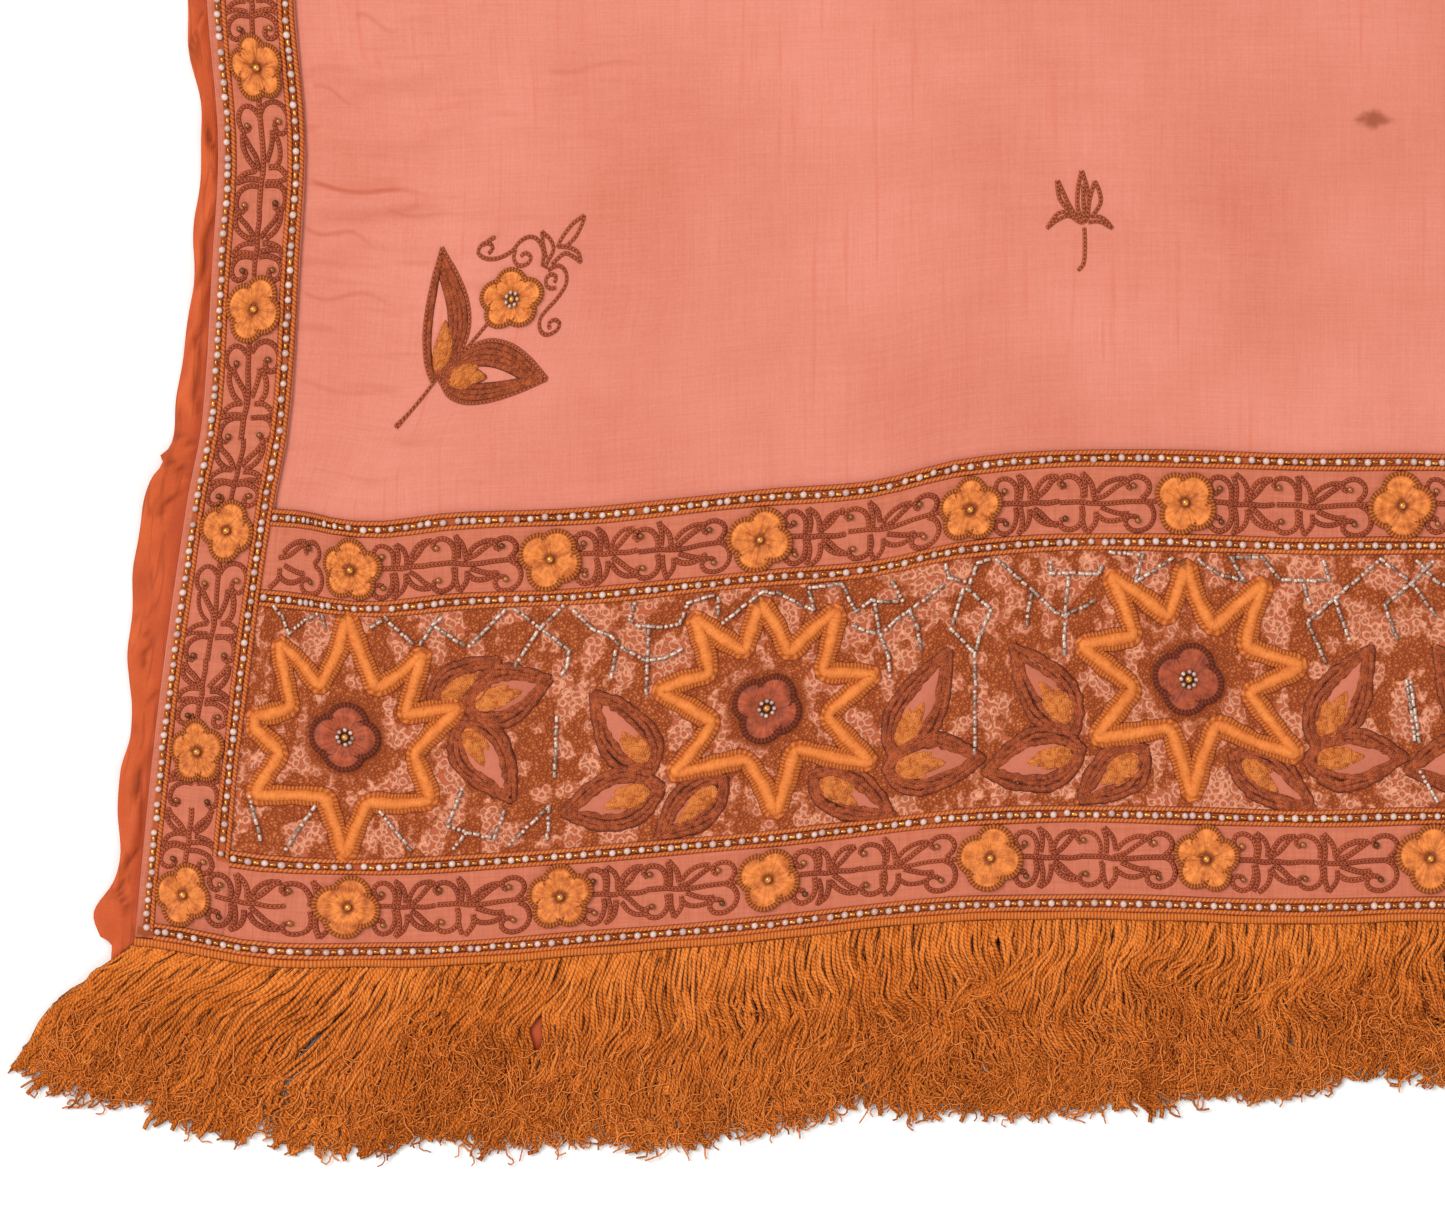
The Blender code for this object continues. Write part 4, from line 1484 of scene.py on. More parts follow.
@dataclass(frozen=True)
class Shape:
    """A small shape to copy: its points, its triangles and each point's own place."""

    points: Array
    faces: Array
    own: Array

    @classmethod
    def of(cls, mesh: bmesh.types.BMesh) -> "Shape":
        """Take a shape from a bmesh, which is freed.

        Args:
            mesh: The bmesh.

        Returns:
            The shape, in triangles.
        """
        bmesh.ops.recalc_face_normals(mesh, faces=mesh.faces)
        bmesh.ops.triangulate(mesh, faces=mesh.faces)
        mesh.verts.index_update()
        points = np.array([vert.co[:] for vert in mesh.verts])
        faces = np.array([[vert.index for vert in face.verts] for face in mesh.faces])
        mesh.free()
        return cls(points, faces, points.copy())

    @classmethod
    def ball(cls, around: int, up: int) -> "Shape":
        """Return a ball of radius 1.

        Args:
            around: Number of sides.
            up: Number of rings of faces.

        Returns:
            The ball.
        """
        mesh = bmesh.new()
        bmesh.ops.create_uvsphere(mesh, u_segments=around, v_segments=up, radius=1.0)
        return cls.of(mesh)

    @classmethod
    def tube(cls, sides: int, rounded: bool) -> "Shape":
        """Return a bead tube along X, 1 long either way and of radius 1, over its middle.

        Args:
            sides: Number of sides.
            rounded: Whether its rims are bevelled.

        Returns:
            The tube.
        """
        mesh = bmesh.new()
        bmesh.ops.create_cone(
            mesh, cap_ends=True, segments=sides, radius1=1.0, radius2=1.0, depth=2.0,
            matrix=Matrix.Rotation(math.pi / 2.0, 4, "Y"),
        )
        if rounded:
            rims = [edge for edge in mesh.edges if abs(edge.verts[0].co.x - edge.verts[1].co.x) < 0.1]
            bmesh.ops.bevel(
                mesh, geom=rims, offset=0.22, affect="EDGES", segments=1, profile=0.5, material=-1
            )
        return cls.of(mesh)

    @classmethod
    def turned(cls, outline: Sequence[tuple[float, float]], steps: int) -> "Shape":
        """Spin an outline about the upright.

        Args:
            outline: Each point's reach and height.
            steps: Steps of the full turn.

        Returns:
            The shape.
        """
        mesh = bmesh.new()
        verts = [mesh.verts.new((reach, 0.0, height)) for reach, height in outline]
        edges = [mesh.edges.new(pair) for pair in zip(verts, verts[1:])]
        bmesh.ops.spin(
            mesh, geom=verts + edges, axis=(0.0, 0.0, 1.0), cent=(0.0, 0.0, 0.0),
            dvec=(0.0, 0.0, 0.0), angle=TURN, steps=steps, use_merge=True,
        )
        bmesh.ops.remove_doubles(mesh, verts=mesh.verts, dist=0.0001)
        return cls.of(mesh)

    def moved(self, change: Matrix) -> "Shape":
        """Return the shape moved, its own places kept.

        Args:
            change: Its turn, scale and shift.

        Returns:
            The moved shape.
        """
        matrix = np.array(change)
        points = self.points @ matrix[:3, :3].T + matrix[:3, 3]
        return Shape(points, self.faces, self.own)

    @staticmethod
    def joined(shapes: Sequence["Shape"]) -> "Shape":
        """Return several shapes as one.

        Args:
            shapes: The shapes.

        Returns:
            The one shape.
        """
        faces, count = [], 0
        for shape in shapes:
            faces.append(shape.faces + count)
            count += len(shape.points)
        return Shape(
            np.vstack([shape.points for shape in shapes]), np.vstack(faces),
            np.vstack([shape.own for shape in shapes]),
        )


def shell(
    columns: Sequence[float], rows: Sequence[float],
    bend: Callable[[Array], Array], name: str,
) -> Mesh:
    """Build a closed cloth shell from a grid.

    Args:
        columns: Grid lines across.
        rows: Grid lines along.
        bend: Takes across, along and layer (0 under, 1 over) of each point and returns its
            flat place.
        name: The mesh's name.

    Returns:
        The mesh, in flat millimetres.
    """
    mesh = bmesh.new()
    bmesh.ops.create_grid(mesh, x_segments=len(columns) - 1, y_segments=len(rows) - 1, size=0.5)
    for vert in mesh.verts:
        vert.co.x = columns[round((vert.co.x + 0.5) * (len(columns) - 1))]
        vert.co.y = rows[round((vert.co.y + 0.5) * (len(rows) - 1))]
    raised = bmesh.ops.extrude_face_region(mesh, geom=mesh.faces[:])
    for item in raised["geom"]:
        if isinstance(item, bmesh.types.BMVert):
            item.co.z = 1.0
    bmesh.ops.recalc_face_normals(mesh, faces=mesh.faces)
    data = bpy.data.meshes.new(name)
    mesh.to_mesh(data)
    mesh.free()
    data.vertices.foreach_set("co", bend(points_of(data)).ravel())
    return data


def grid_lines(*parts: tuple[float, float, float]) -> list[float]:
    """Return grid lines over parts.

    Args:
        parts: Each a start, an end and a step.

    Returns:
        The lines, with the last part's end.
    """
    lines: list[float] = []
    for start, end, step in parts:
        count = max(1, round((end - start) / step))
        lines += [start + (end - start) * k / count for k in range(count)]
    return lines + [parts[-1][1]]


def mirrored(lines: Sequence[float], whole: float) -> list[float]:
    """Return grid lines and their match on the other half."""
    return sorted(set(list(lines) + [whole - line for line in lines]))


@dataclass
class Lining:
    """The lining: an orange shell whose tucked, wavy edge shows past the face cloth."""

    wall: float = 0.9
    edge: tuple[float, ...] = (0.0, 0.8, 2.0, 3.3, 4.7, 6.2, 8.0, 10.2, 13.0)
    tuck_step: float = 47.0
    tuck_half_width: float = 15.0
    flat: tuple[float, float] = (0.89, 2.31)

    def reach(self, along: Array, right: Array) -> Array:
        """Return how far the lining shows past the bead line.

        Args:
            along: Places along, on the near half.
            right: Whether each place lies on the right.

        Returns:
            The reach in millimetres.
        """
        near = np.where(
            right, LAYING.read(LINING_REACH, along, 2), LAYING.read(LINING_REACH, along, 1)
        )
        far = 11.8 + sum(
            height * np.sin(along / length + phase * right) for height, length, phase in REACH_WAVES
        )
        ripple = 0.8 * np.sin(along / 5.1) * np.sin(along / 19.0) + 0.5 * np.sin(along / 8.7 + 1.0)
        return near + (far - near) * LAYING.ease((along - 280.0) / 60.0) + ripple

    def tuck(self, along: Array, right: Array) -> Array:
        """Return how far a tuck lifts the lining's edge.

        Args:
            along: Places along, on the near half.
            right: Whether each place lies on the right.

        Returns:
            The rise in millimetres.
        """
        rise = sum(
            np.where(right, row[2], row[1]) * np.exp(-((along - row[0]) / row[3]) ** 2)
            for row in TUCKS
        )
        number = np.round(along / self.tuck_step)
        middle = number * self.tuck_step + 9.0 * np.sin(number * 2.7 + right)
        height = 1.3 + 0.8 * np.sin(number * 1.9 + 2.0 * right)
        wave = height * np.exp(-((along - middle) / self.tuck_half_width) ** 2)
        return rise + (wave - rise) * LAYING.ease((along - 280.0) / 60.0)

    def fold(self, across: Array, along: Array) -> Array:
        """Return the rise of the folds pressed in the edge.

        Args:
            across: Places across, on the near half.
            along: Places along.

        Returns:
            The rise in millimetres.
        """
        right = across > CUT.width / 2.0
        from_side = np.where(right, CUT.width - across, across)
        reach = self.reach(np.maximum(along, -9.0), right)
        share = (from_side - CUT.outer_beads + reach) / reach
        repeat = np.mod(np.where(right, FOLD_REPEAT - along, along), FOLD_REPEAT)
        rise = np.zeros(np.broadcast(across, along).shape)
        for first, start, last, end, height, half in LINING_FOLDS:
            place = (repeat - first) / (last - first)
            line = start + (end - start) * place + 0.06 * np.sin(place * 9.0 + first)
            off = (share - line) * reach
            if abs(end - start) > 0.68:
                off = (place - (share - start) / (end - start)) * (last - first)
                place = share * 0.9
            ends = LAYING.ease((place + 0.15) / 0.35) * LAYING.ease((1.15 - place) / 0.35)
            rise = rise + height * np.exp(-((off / half) ** 2)) * ends
            rise = rise - height * np.exp(-(((off - 1.2 * half) / (0.7 * half)) ** 2)) * ends
        rise = rise * LAYING.ease((10.8 - from_side) / 2.5)
        return rise * LAYING.ease((along + 12.0) / 12.0)

    def bend(self, grid: Array) -> Array:
        """Shape the shell's grid: wavy edge, lifted tucks and small gathers.

        Args:
            grid: One row for each point: across, along, and 1 on the upper side.

        Returns:
            The points in flat millimetres.
        """
        column, row, over = grid.T
        far = row > CUT.length / 2.0
        along = np.where(far, CUT.length - row, row)
        right_side = column > CUT.width / 2.0
        to_edge = np.where(right_side, CUT.width - column, column)
        right = np.where(far, ~right_side, right_side).astype(float)
        tail_share = np.clip(-along / 30.0, 0.0, 1.0)
        inset = CUT.outer_beads - self.reach(np.maximum(along, -9.0), right > 0.5)
        zone = self.edge[-1]
        across_in = np.where(
            to_edge <= zone, inset + to_edge * (zone - inset) / zone, to_edge
        )
        across = np.where(right_side, CUT.width - across_in, across_in)
        turned_across = np.where(far, CUT.width - across, across)
        tail = LAYING.read(LINING_TAIL, turned_across, 1)
        along = np.where(along < 0.0, -tail * tail_share, along)
        fall = LAYING.ease(1.0 - to_edge / 9.5)
        puff = self.tuck(along, right > 0.5) * LAYING.ease((along + 8.0) / 8.0)
        gathers = 0.28 * np.sin(along / 1.75 + 2.0 * np.sin(along / 11.0)) + 0.22 * np.sin(
            along / 3.9 + 1.3
        )
        top = CUT.lining_top + (puff + gathers + 0.35) * fall
        top = top + self.fold(turned_across, along)
        top = np.clip(top, self.wall + 0.05, 3.6)
        height = np.where(over > 0.5, top, np.maximum(top - self.wall, 0.0))
        return np.column_stack((across, np.where(far, CUT.length - along, along), height))

    def build(self) -> None:
        columns = mirrored(
            list(self.edge) + grid_lines((24.0, CUT.width / 2.0, 105.0)), CUT.width
        )
        rows = mirrored(
            grid_lines((-30.0, 0.0, 5.0), (0.0, 290.0, 1.9), (290.0, CUT.length / 2.0, 9.0)),
            CUT.length,
        )
        mesh = shell(columns, rows, self.bend, "lining")
        across, along = near_half(*points_of(mesh).T[:2])
        outer = 1.0 - LAYING.ease((np.minimum(across, CUT.width - across) - 10.5) / 3.0)
        # Painted shade: how dark the troughs beside the pressed folds are painted, near the edge.
        store(mesh, "fold", np.clip(-self.fold(across, along) * 1.4, 0.0, 1.0) * outer)
        piece = add_piece("lining_shell", mesh, "lining")
        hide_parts("lining")


@dataclass
class FaceCloth:
    """The sheer face cloth: a creased shell over the lining."""

    wall: float = 0.3
    flat: tuple[float, float] = (0.873, 2.25)

    def bend(self, grid: Array) -> Array:
        """Raise the creases; troughs stop on the lining.

        Args:
            grid: One row for each point: across, along, and 1 on the upper side.

        Returns:
            The points in flat millimetres.
        """
        across, along, over = grid.T
        top = CUT.face_top + face_relief(across, along)
        top = np.maximum(top, CUT.lining_top + self.wall + 0.1)
        return np.column_stack((across, along, np.where(over > 0.5, top, top - self.wall)))

    @staticmethod
    def _rows(under_step: float, crease_step: float) -> list[float]:
        """Return half the grid lines along.

        Args:
            under_step: Step under the end border.
            crease_step: Step where the creases lie.

        Returns:
            The lines from the seam to the middle.
        """
        return grid_lines(
            (0.0, CUT.end_inner, under_step), (CUT.end_inner, 290.0, crease_step),
            (290.0, CUT.length / 2.0, 24.0),
        )

    def build(self) -> None:
        columns = grid_lines(
            (CUT.face_edge, CUT.side_inner, 13.0), (CUT.side_inner, 110.0, 3.2),
            (110.0, 420.0, 8.0), (420.0, 790.0, 25.0), (790.0, CUT.width - CUT.side_inner, 9.0),
            (CUT.width - CUT.side_inner, CUT.width - CUT.face_edge, 13.0),
        )
        near = self._rows(22.0, 2.3)
        rows = near + [CUT.length - line for line in self._rows(44.0, 13.0)]
        mesh = shell(columns, sorted(set(rows)), self.bend, "face")
        across, along = points_of(mesh).T[:2]
        # Painted shade: the sides of the creases that face away from the key light are marked darker.
        slope = face_relief(across, along + 1.6) - face_relief(across, along - 1.6)
        store(mesh, "crease_shade", np.clip(slope * 0.9 - 0.12, 0.0, 1.0))
        piece = add_piece("face_shell", mesh, "face")
        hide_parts("face_cloth")


def side_flower_places() -> list[float]:
    """Return where the flowers of a side border lie along it.

    Returns:
        The places, from the near end to the far one.
    """
    last = SIDE_FLOWERS[-1]
    pitch = (CUT.length - 2.0 * last) / SIDE_REST
    between = [last + pitch * k for k in range(1, SIDE_REST)]
    return sorted(list(SIDE_FLOWERS) + [CUT.length - place for place in SIDE_FLOWERS] + between)


@dataclass
class BorderGrounds:
    """The ground cloth of the four borders, as thin strips."""

    wall: float = 0.6
    rim: float = 0.7

    def _lines(self, first: float, last: float, step: float) -> list[float]:
        """Return a strip's grid lines, with a narrow one along each edge."""
        low, high = first + self.rim, last - self.rim
        return grid_lines((first, low, self.rim), (low, high, step), (high, last, self.rim))

    def _bend(self, grid: Array) -> Array:
        """Give the strip its level, a little uneven.

        Args:
            grid: One row for each point: across, along, and 1 on the upper side.

        Returns:
            The points in flat millimetres.
        """
        across, along, over = grid.T
        top = CUT.border_top - 0.12 + 0.1 * np.sin(across / 9.0) * np.sin(along / 13.0)
        return np.column_stack((across, along, np.where(over > 0.5, top, top - self.wall)))

    def build(self) -> None:
        """Build the strips."""
        sides = grid_lines((0.0, CUT.length, 14.0))
        first = CUT.side_inner + CUT.seam_gap
        last = CUT.width - first
        left = shell(self._lines(CUT.side_outer, first, 8.5), sides, self._bend, "side_left")
        near = shell(
            self._lines(first, last, 15.0), self._lines(0.0, CUT.end_inner, 13.0), self._bend,
            "end_near",
        )
        jobs = (
            ("side_ground_left", left, Half.NEAR, "side_border_left"),
            ("side_ground_right", left.copy(), Half.FAR, "side_border_right"),
            ("end_ground_near", near, Half.NEAR, "end_border_near"),
            ("end_ground_far", near.copy(), Half.FAR, "end_border_far"),
        )
        for name, mesh, half, node in jobs:
            strip = add_piece(name, mesh, "ground", half)
            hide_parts(node)


# Length of a scroll unit, the part of it that a short gap takes, and the longest short gap
UNIT = 66.2
SHORT_UNIT = 44.0
SHORT_GAP = 55.0

# One unit of the scroll bands, from a flower to the next, drawn once
# Each stroke: places (along the band, out from its middle) from its root to its end
UNIT_STROKES = (
    ((8.9, 0.5), (12.0, 0.4), (14.5, 0.3), (17.0, -0.1), (20.0, 0.2), (24.2, -0.2), (27.5, 0.2)),
    ((27.5, 0.2), (34.0, 0.2), (37.5, -0.4), (42.5, -0.4), (47.5, 0.1), (53.0, 0.3), (57.6, 0.4)),
    ((14.2, 0.6), (14.6, 3.5), (13.8, 6.4), (11.7, 8.2), (9.3, 8.2), (7.9, 6.5), (8.2, 4.4),
     (9.5, 3.2), (10.8, 3.9)),
    ((14.2, -0.6), (14.6, -3.4), (13.9, -6.6), (12.6, -8.3), (10.3, -8.9), (8.2, -7.4),
     (8.1, -5.2), (9.5, -4.3), (11.3, -5.0)), ((15.3, 0.9), (15.8, 4.4), (15.4, 7.0), (14.7, 9.0)),
    ((18.3, 1.6), (18.3, 4.4), (17.2, 7.2), (14.9, 9.1)),
    ((15.3, -0.9), (16.0, -4.4), (15.8, -7.2), (14.7, -9.6)),
    ((18.4, -2.2), (18.4, -5.0), (17.4, -7.8), (14.9, -9.7)),
    ((19.0, 1.6), (20.0, 4.6), (21.8, 7.0), (24.0, 8.1), (26.3, 8.0)),
    ((18.4, 0.8), (21.0, 2.4), (23.0, 4.4), (24.6, 6.6), (26.5, 8.0)),
    ((19.6, -1.0), (22.0, -2.9), (24.4, -5.4), (27.0, -7.0)),
    ((19.2, -2.6), (21.2, -5.6), (24.0, -7.2), (27.0, -7.3)),
    ((34.0, 0.8), (34.2, 3.4), (32.8, 6.6), (30.2, 8.0), (27.8, 7.6), (26.9, 6.0), (27.8, 4.6),
     (28.8, 5.2)),
    ((34.2, -1.2), (34.7, -4.4), (33.7, -7.4), (31.2, -8.8), (28.7, -8.4), (27.6, -6.9),
     (28.1, -5.5), (29.3, -5.2)), ((35.2, 1.2), (35.3, 5.2), (34.4, 9.1)),
    ((38.2, 1.8), (37.4, 5.8), (34.6, 9.2)), ((34.9, -1.8), (35.0, -5.8), (36.0, -9.6)),
    ((38.8, -2.8), (38.7, -6.4), (36.2, -9.7)),
    ((38.8, 2.2), (41.3, 4.9), (44.9, 6.5), (47.9, 6.5)),
    ((37.6, 0.5), (41.3, 1.6), (44.4, 3.9), (47.9, 6.3)),
    ((40.2, -1.6), (43.4, -2.9), (46.4, -3.7), (49.0, -3.6)),
    ((38.9, -4.4), (41.3, -6.0), (44.4, -6.2), (46.9, -5.4), (49.0, -3.8)),
    ((53.0, 0.7), (55.1, 2.9), (55.4, 5.5), (53.5, 7.5), (51.0, 7.8), (48.8, 6.7), (48.5, 5.0),
     (50.0, 4.0)),
    ((53.0, 0.0), (55.4, -1.5), (56.5, -4.6), (55.5, -7.8), (52.6, -9.5), (49.4, -9.3),
     (47.7, -7.4), (48.3, -5.5), (50.2, -4.9), (51.8, -5.8)),
)
UNIT_BEADS = (
    (10.6, 4.6), (11.0, -5.9), (28.6, 5.4), (29.3, -5.3), (50.3, 4.9), (51.6, -6.1),
)


@dataclass
class ScrollBand:
    """The line of one straight band, on which scroll units are repeated."""

    start: tuple[float, float]
    turn: float
    squeeze: float = 0.92

    def spot(self, place: Array) -> Array:
        """Carry places on the band to flat millimetres.

        Args:
            place: One row for each: along the band, and out from its middle.

        Returns:
            One row for each: across and along.
        """
        cos, sin = math.cos(self.turn), math.sin(self.turn)
        out = place[:, 1] * self.squeeze
        return np.column_stack((
            self.start[0] + place[:, 0] * cos - out * sin,
            self.start[1] + place[:, 0] * sin + out * cos,
        ))


class Flowers:
    """Satin flowers with stitched rims, in a few given arrangements."""

    petal_outline = (
        (0.0, 0.70), (0.40, 0.78), (0.70, 0.78), (0.79, 0.68), (0.86, 0.94), (0.95, 0.84),
        (1.0, 0.3), (0.95, 0.0), (0.0, 0.0),
    )
    plain_outline = ((0.0, 0.72), (0.6, 0.8), (0.86, 0.95), (1.0, 0.35), (0.9, 0.0), (0.0, 0.0))
    # Columns: bearing in degrees, reach of the petal's middle, petal's length, width, lift
    arrangements = (
        ((175, 3.8, 4.9, 5.3, 0.06), (80, 3.9, 4.7, 5.2, 0), (-8, 3.7, 4.9, 5, 0.1),
         (-98, 3.9, 4.6, 5.3, 0.02)),
        ((95, 4, 4.8, 4.4, 0.02), (20, 4.1, 4.6, 4.6, 0.1), (-52, 3.9, 4.8, 4.4, 0),
         (-125, 3.9, 4.8, 4.5, 0.06), (165, 4.1, 4.5, 4.6, 0)),
        ((60, 3.9, 4.7, 5.1, 0.1), (-20, 3.8, 4.8, 5.3, 0), (-105, 3.7, 5, 5.2, 0.06),
         (150, 3.9, 4.8, 5.4, 0.02)),
    )

    def __init__(self) -> None:
        """Make the arrangements, fine and plain."""
        self.books = {
            True: [self._flower(plan, self.petal_outline, 18) for plan in self.arrangements],
            False: [self._flower(plan, self.plain_outline, 9) for plan in self.arrangements],
        }

    @staticmethod
    def _flower(plan: Rows, outline: Sequence[tuple[float, float]], steps: int) -> Shape:
        """Return one flower of radius 8.8 and height about 2, from petals set round it.

        Args:
            plan: One row for each petal.
            outline: Half a petal's section.
            steps: Steps round a petal.

        Returns:
            The flower.
        """
        petal = Shape.turned(outline, steps)
        outward = np.clip((petal.points[:, 0] + 0.8) / 0.9, 0.0, 1.0)
        petal.points[:, 2] *= 0.45 + 0.55 * outward
        petals = []
        for bearing, reach, length, width, lift in plan:
            change = (
                Matrix.Rotation(math.radians(bearing), 4, "Z")
                @ Matrix.Translation((reach, 0.0, lift))
                @ Matrix.Diagonal((length, width, 1.7, 1.0))
            )
            petals.append(petal.moved(change))
        return Shape.joined(petals)


@dataclass
class Embroidery:
    """Everything stitched and beaded on one set of borders, gathered before it is joined."""

    seed: int
    name: str
    half: Half = Half.NEAR
    chain: Strands = field(default_factory=lambda: Strands.ridge(0.84, 0.72))
    ropes: Strands = field(default_factory=lambda: Strands.ridge(0.95, 1.05))
    pearls: Stamps = field(default_factory=Stamps)
    gold: Stamps = field(default_factory=Stamps)
    bronze: Stamps = field(default_factory=Stamps)
    silver: Stamps = field(default_factory=Stamps)
    petals: Stamps = field(default_factory=Stamps)
    rust_petals: Stamps = field(default_factory=Stamps)
    rope_offset: float = 1.72
    bead_pitch: float = 4.4
    flower_wide: float = 1.0

    def __post_init__(self) -> None:
        """Seed the variation and make the small shapes."""
        self.rng = np.random.default_rng(self.seed)
        plain_ball = Shape.ball(5, 3)
        self.balls = {True: Shape.ball(8, 4), False: plain_ball}
        self.seeds = {True: Shape.ball(6, 4), False: plain_ball}
        self.tubes = {True: Shape.tube(5, True), False: Shape.tube(4, False)}
        self.flowers = Flowers()

    def close(self, across: float, along: float) -> bool:
        """Return whether a place on these borders is seen close up."""
        return self.half is Half.NEAR and in_view(across, along)

    def scrolls(
        self, band: ScrollBand, first: float, last: float, part: tuple[float, float]
    ) -> None:
        """Sew the scrolls of one gap between flowers.

        Args:
            band: The band that the gap is on.
            first: Where the gap's first flower, or the cut end, lies along the band.
            last: Where its other end lies.
            part: The part of the unit that is stitched, in unit millimetres.
        """
        rng = self.rng
        low, high = part
        stretch = (last - first) / (high - low)
        for stroke in UNIT_STROKES:
            line = np.asarray(stroke)
            inside = (line[:, 0] >= low + 2.0) & (line[:, 0] <= high - 2.0)
            if inside.sum() < len(line) * 0.9 or inside.sum() < 3:
                continue
            line = line[inside] + rng.normal(0.0, 0.3, 2)
            line = line + rng.normal(0.0, 0.06, line.shape)
            line[:, 0] = first + (line[:, 0] - low) * stretch
            flat = band.spot(line)
            path = through(flat, 1.2 if self.close(*flat[0]) else 3.6)
            self.chain.add(
                path, CUT.border_top - 0.15 + rng.uniform(0.0, 0.12),
                rng.uniform(0.88, 1.04), rng.uniform(0.1, 0.9),
            )
        for along, out in UNIT_BEADS:
            if low + 3.0 < along < high - 3.0:
                spot = band.spot(np.array([[first + (along - low) * stretch, out]]))[0]
                self.bronze.add(
                    self.seeds[self.close(*spot)], (*spot, CUT.border_top + 0.75),
                    (1.0, 1.0, 0.9), 0.0, rng.uniform(),
                )

    def scroll_row(self, band: ScrollBand, places: Sequence[float]) -> None:
        """Sew the scrolls between a row of flowers; a short gap takes part of a unit.

        Args:
            band: The band.
            places: Where the flowers lie along it.
        """
        for first, last in zip(places, places[1:]):
            end = UNIT if last - first > SHORT_GAP else SHORT_UNIT
            self.scrolls(band, first, last, (0.0, end))

    def braid(
        self, start: Sequence[float], end: Sequence[float], sides: Sequence[float] = (-1.0, 1.0)
    ) -> None:
        """Sew one straight beaded braid: pearls and tubes, with rope rows.

        Args:
            start: One end.
            end: The other end.
            sides: Where a rope row lies: 1 on the left, -1 on the right.
        """
        start, end = np.asarray(start, float), np.asarray(end, float)
        length, way, out, turn = course(start, end)
        line = np.linspace(start, end, max(3, round(length / 8.5)))
        for side in sides:
            sway = 0.12 * np.sin(np.linspace(0.0, length / 9.0, len(line)) + side)[:, None]
            self.ropes.add(
                line + out * (side * self.rope_offset + sway), CUT.border_top - 0.15,
                tone=self.rng.uniform(0.3, 0.7),
            )
        place = 1.1
        while place < length - 0.9:
            spot = start + way * place + out * self.rng.normal(0.0, 0.14)
            fine = self.close(*spot)
            radius = self.rng.uniform(1.0, 1.16)
            self.pearls.add(
                self.balls[fine], (*spot, CUT.border_top + 0.85),
                (radius, radius, radius * 0.95), 0.0, self.rng.uniform(),
            )
            pitch = self.rng.normal(self.bead_pitch, 0.22)
            chance = self.rng.uniform()
            if chance < 0.05:
                place += 2.3
                continue
            if place + pitch < length - 0.9 and chance < 0.95:
                spot = start + way * (place + pitch / 2.0) + out * self.rng.normal(0.0, 0.12)
                half = self.rng.uniform(0.6, 0.9)
                self.gold.add(
                    self.tubes[fine], (*spot, CUT.border_top + 0.65), (half, 0.62, 0.62),
                    turn + self.rng.normal(0.0, 0.09), self.rng.uniform(),
                )
            place += pitch

    def flower(self, across: float, along: float, number: int) -> None:
        """Sew one gold flower with a bead in its middle.

        Args:
            across: Its middle across.
            along: Its middle along.
            number: Picks its arrangement.
        """
        fine = self.close(across, along)
        book = self.flowers.books[fine]
        size = self.rng.uniform(1.12, 1.21)
        self.petals.add(
            book[number % len(book)], (across, along, CUT.border_top - 0.2),
            (size * self.flower_wide, size, 1.0), self.rng.uniform(-0.3, 0.3), self.rng.uniform(),
        )
        place = (across, along, CUT.border_top + 1.6)
        self.gold.add(self.balls[fine], place, (1.15, 1.15, 1.0), 0.0, 0.8)

    def join(self) -> None:
        """Join what was gathered into pieces."""
        jobs = (
            ("scrolls", self.chain, "chain"), ("braids", self.ropes, "rope"),
            ("pearls", self.pearls, "pearl"), ("gold_beads", self.gold, "gold"),
            ("bronze_beads", self.bronze, "bronze"), ("silver_beads", self.silver, "silver"),
            ("flowers", self.petals, "petal"), ("rust_flowers", self.rust_petals, "rust_petal"),
        )
        join_pieces(jobs, f"_{self.name}", self.half)


@dataclass
class SideBorder(Embroidery):
    """Stitching of one side border."""

    flower_wide: float = 0.82

    def build(self) -> None:
        """Sew the braids, the flowers and the scrolls."""
        far = CUT.length - CUT.bead_lines[0]
        self.braid((CUT.outer_beads, CUT.bead_lines[0]), (CUT.outer_beads, far), (-1.0,))
        self.braid(
            (CUT.inner_beads, CUT.bead_lines[1]), (CUT.inner_beads, CUT.length - CUT.bead_lines[1])
        )
        band = ScrollBand((CUT.side_middle, 0.0), math.pi / 2.0, 0.86)
        places = side_flower_places()
        self.scroll_row(band, places)
        for number, along in enumerate(places):
            self.flower(CUT.side_middle, along, number)
        self.join()
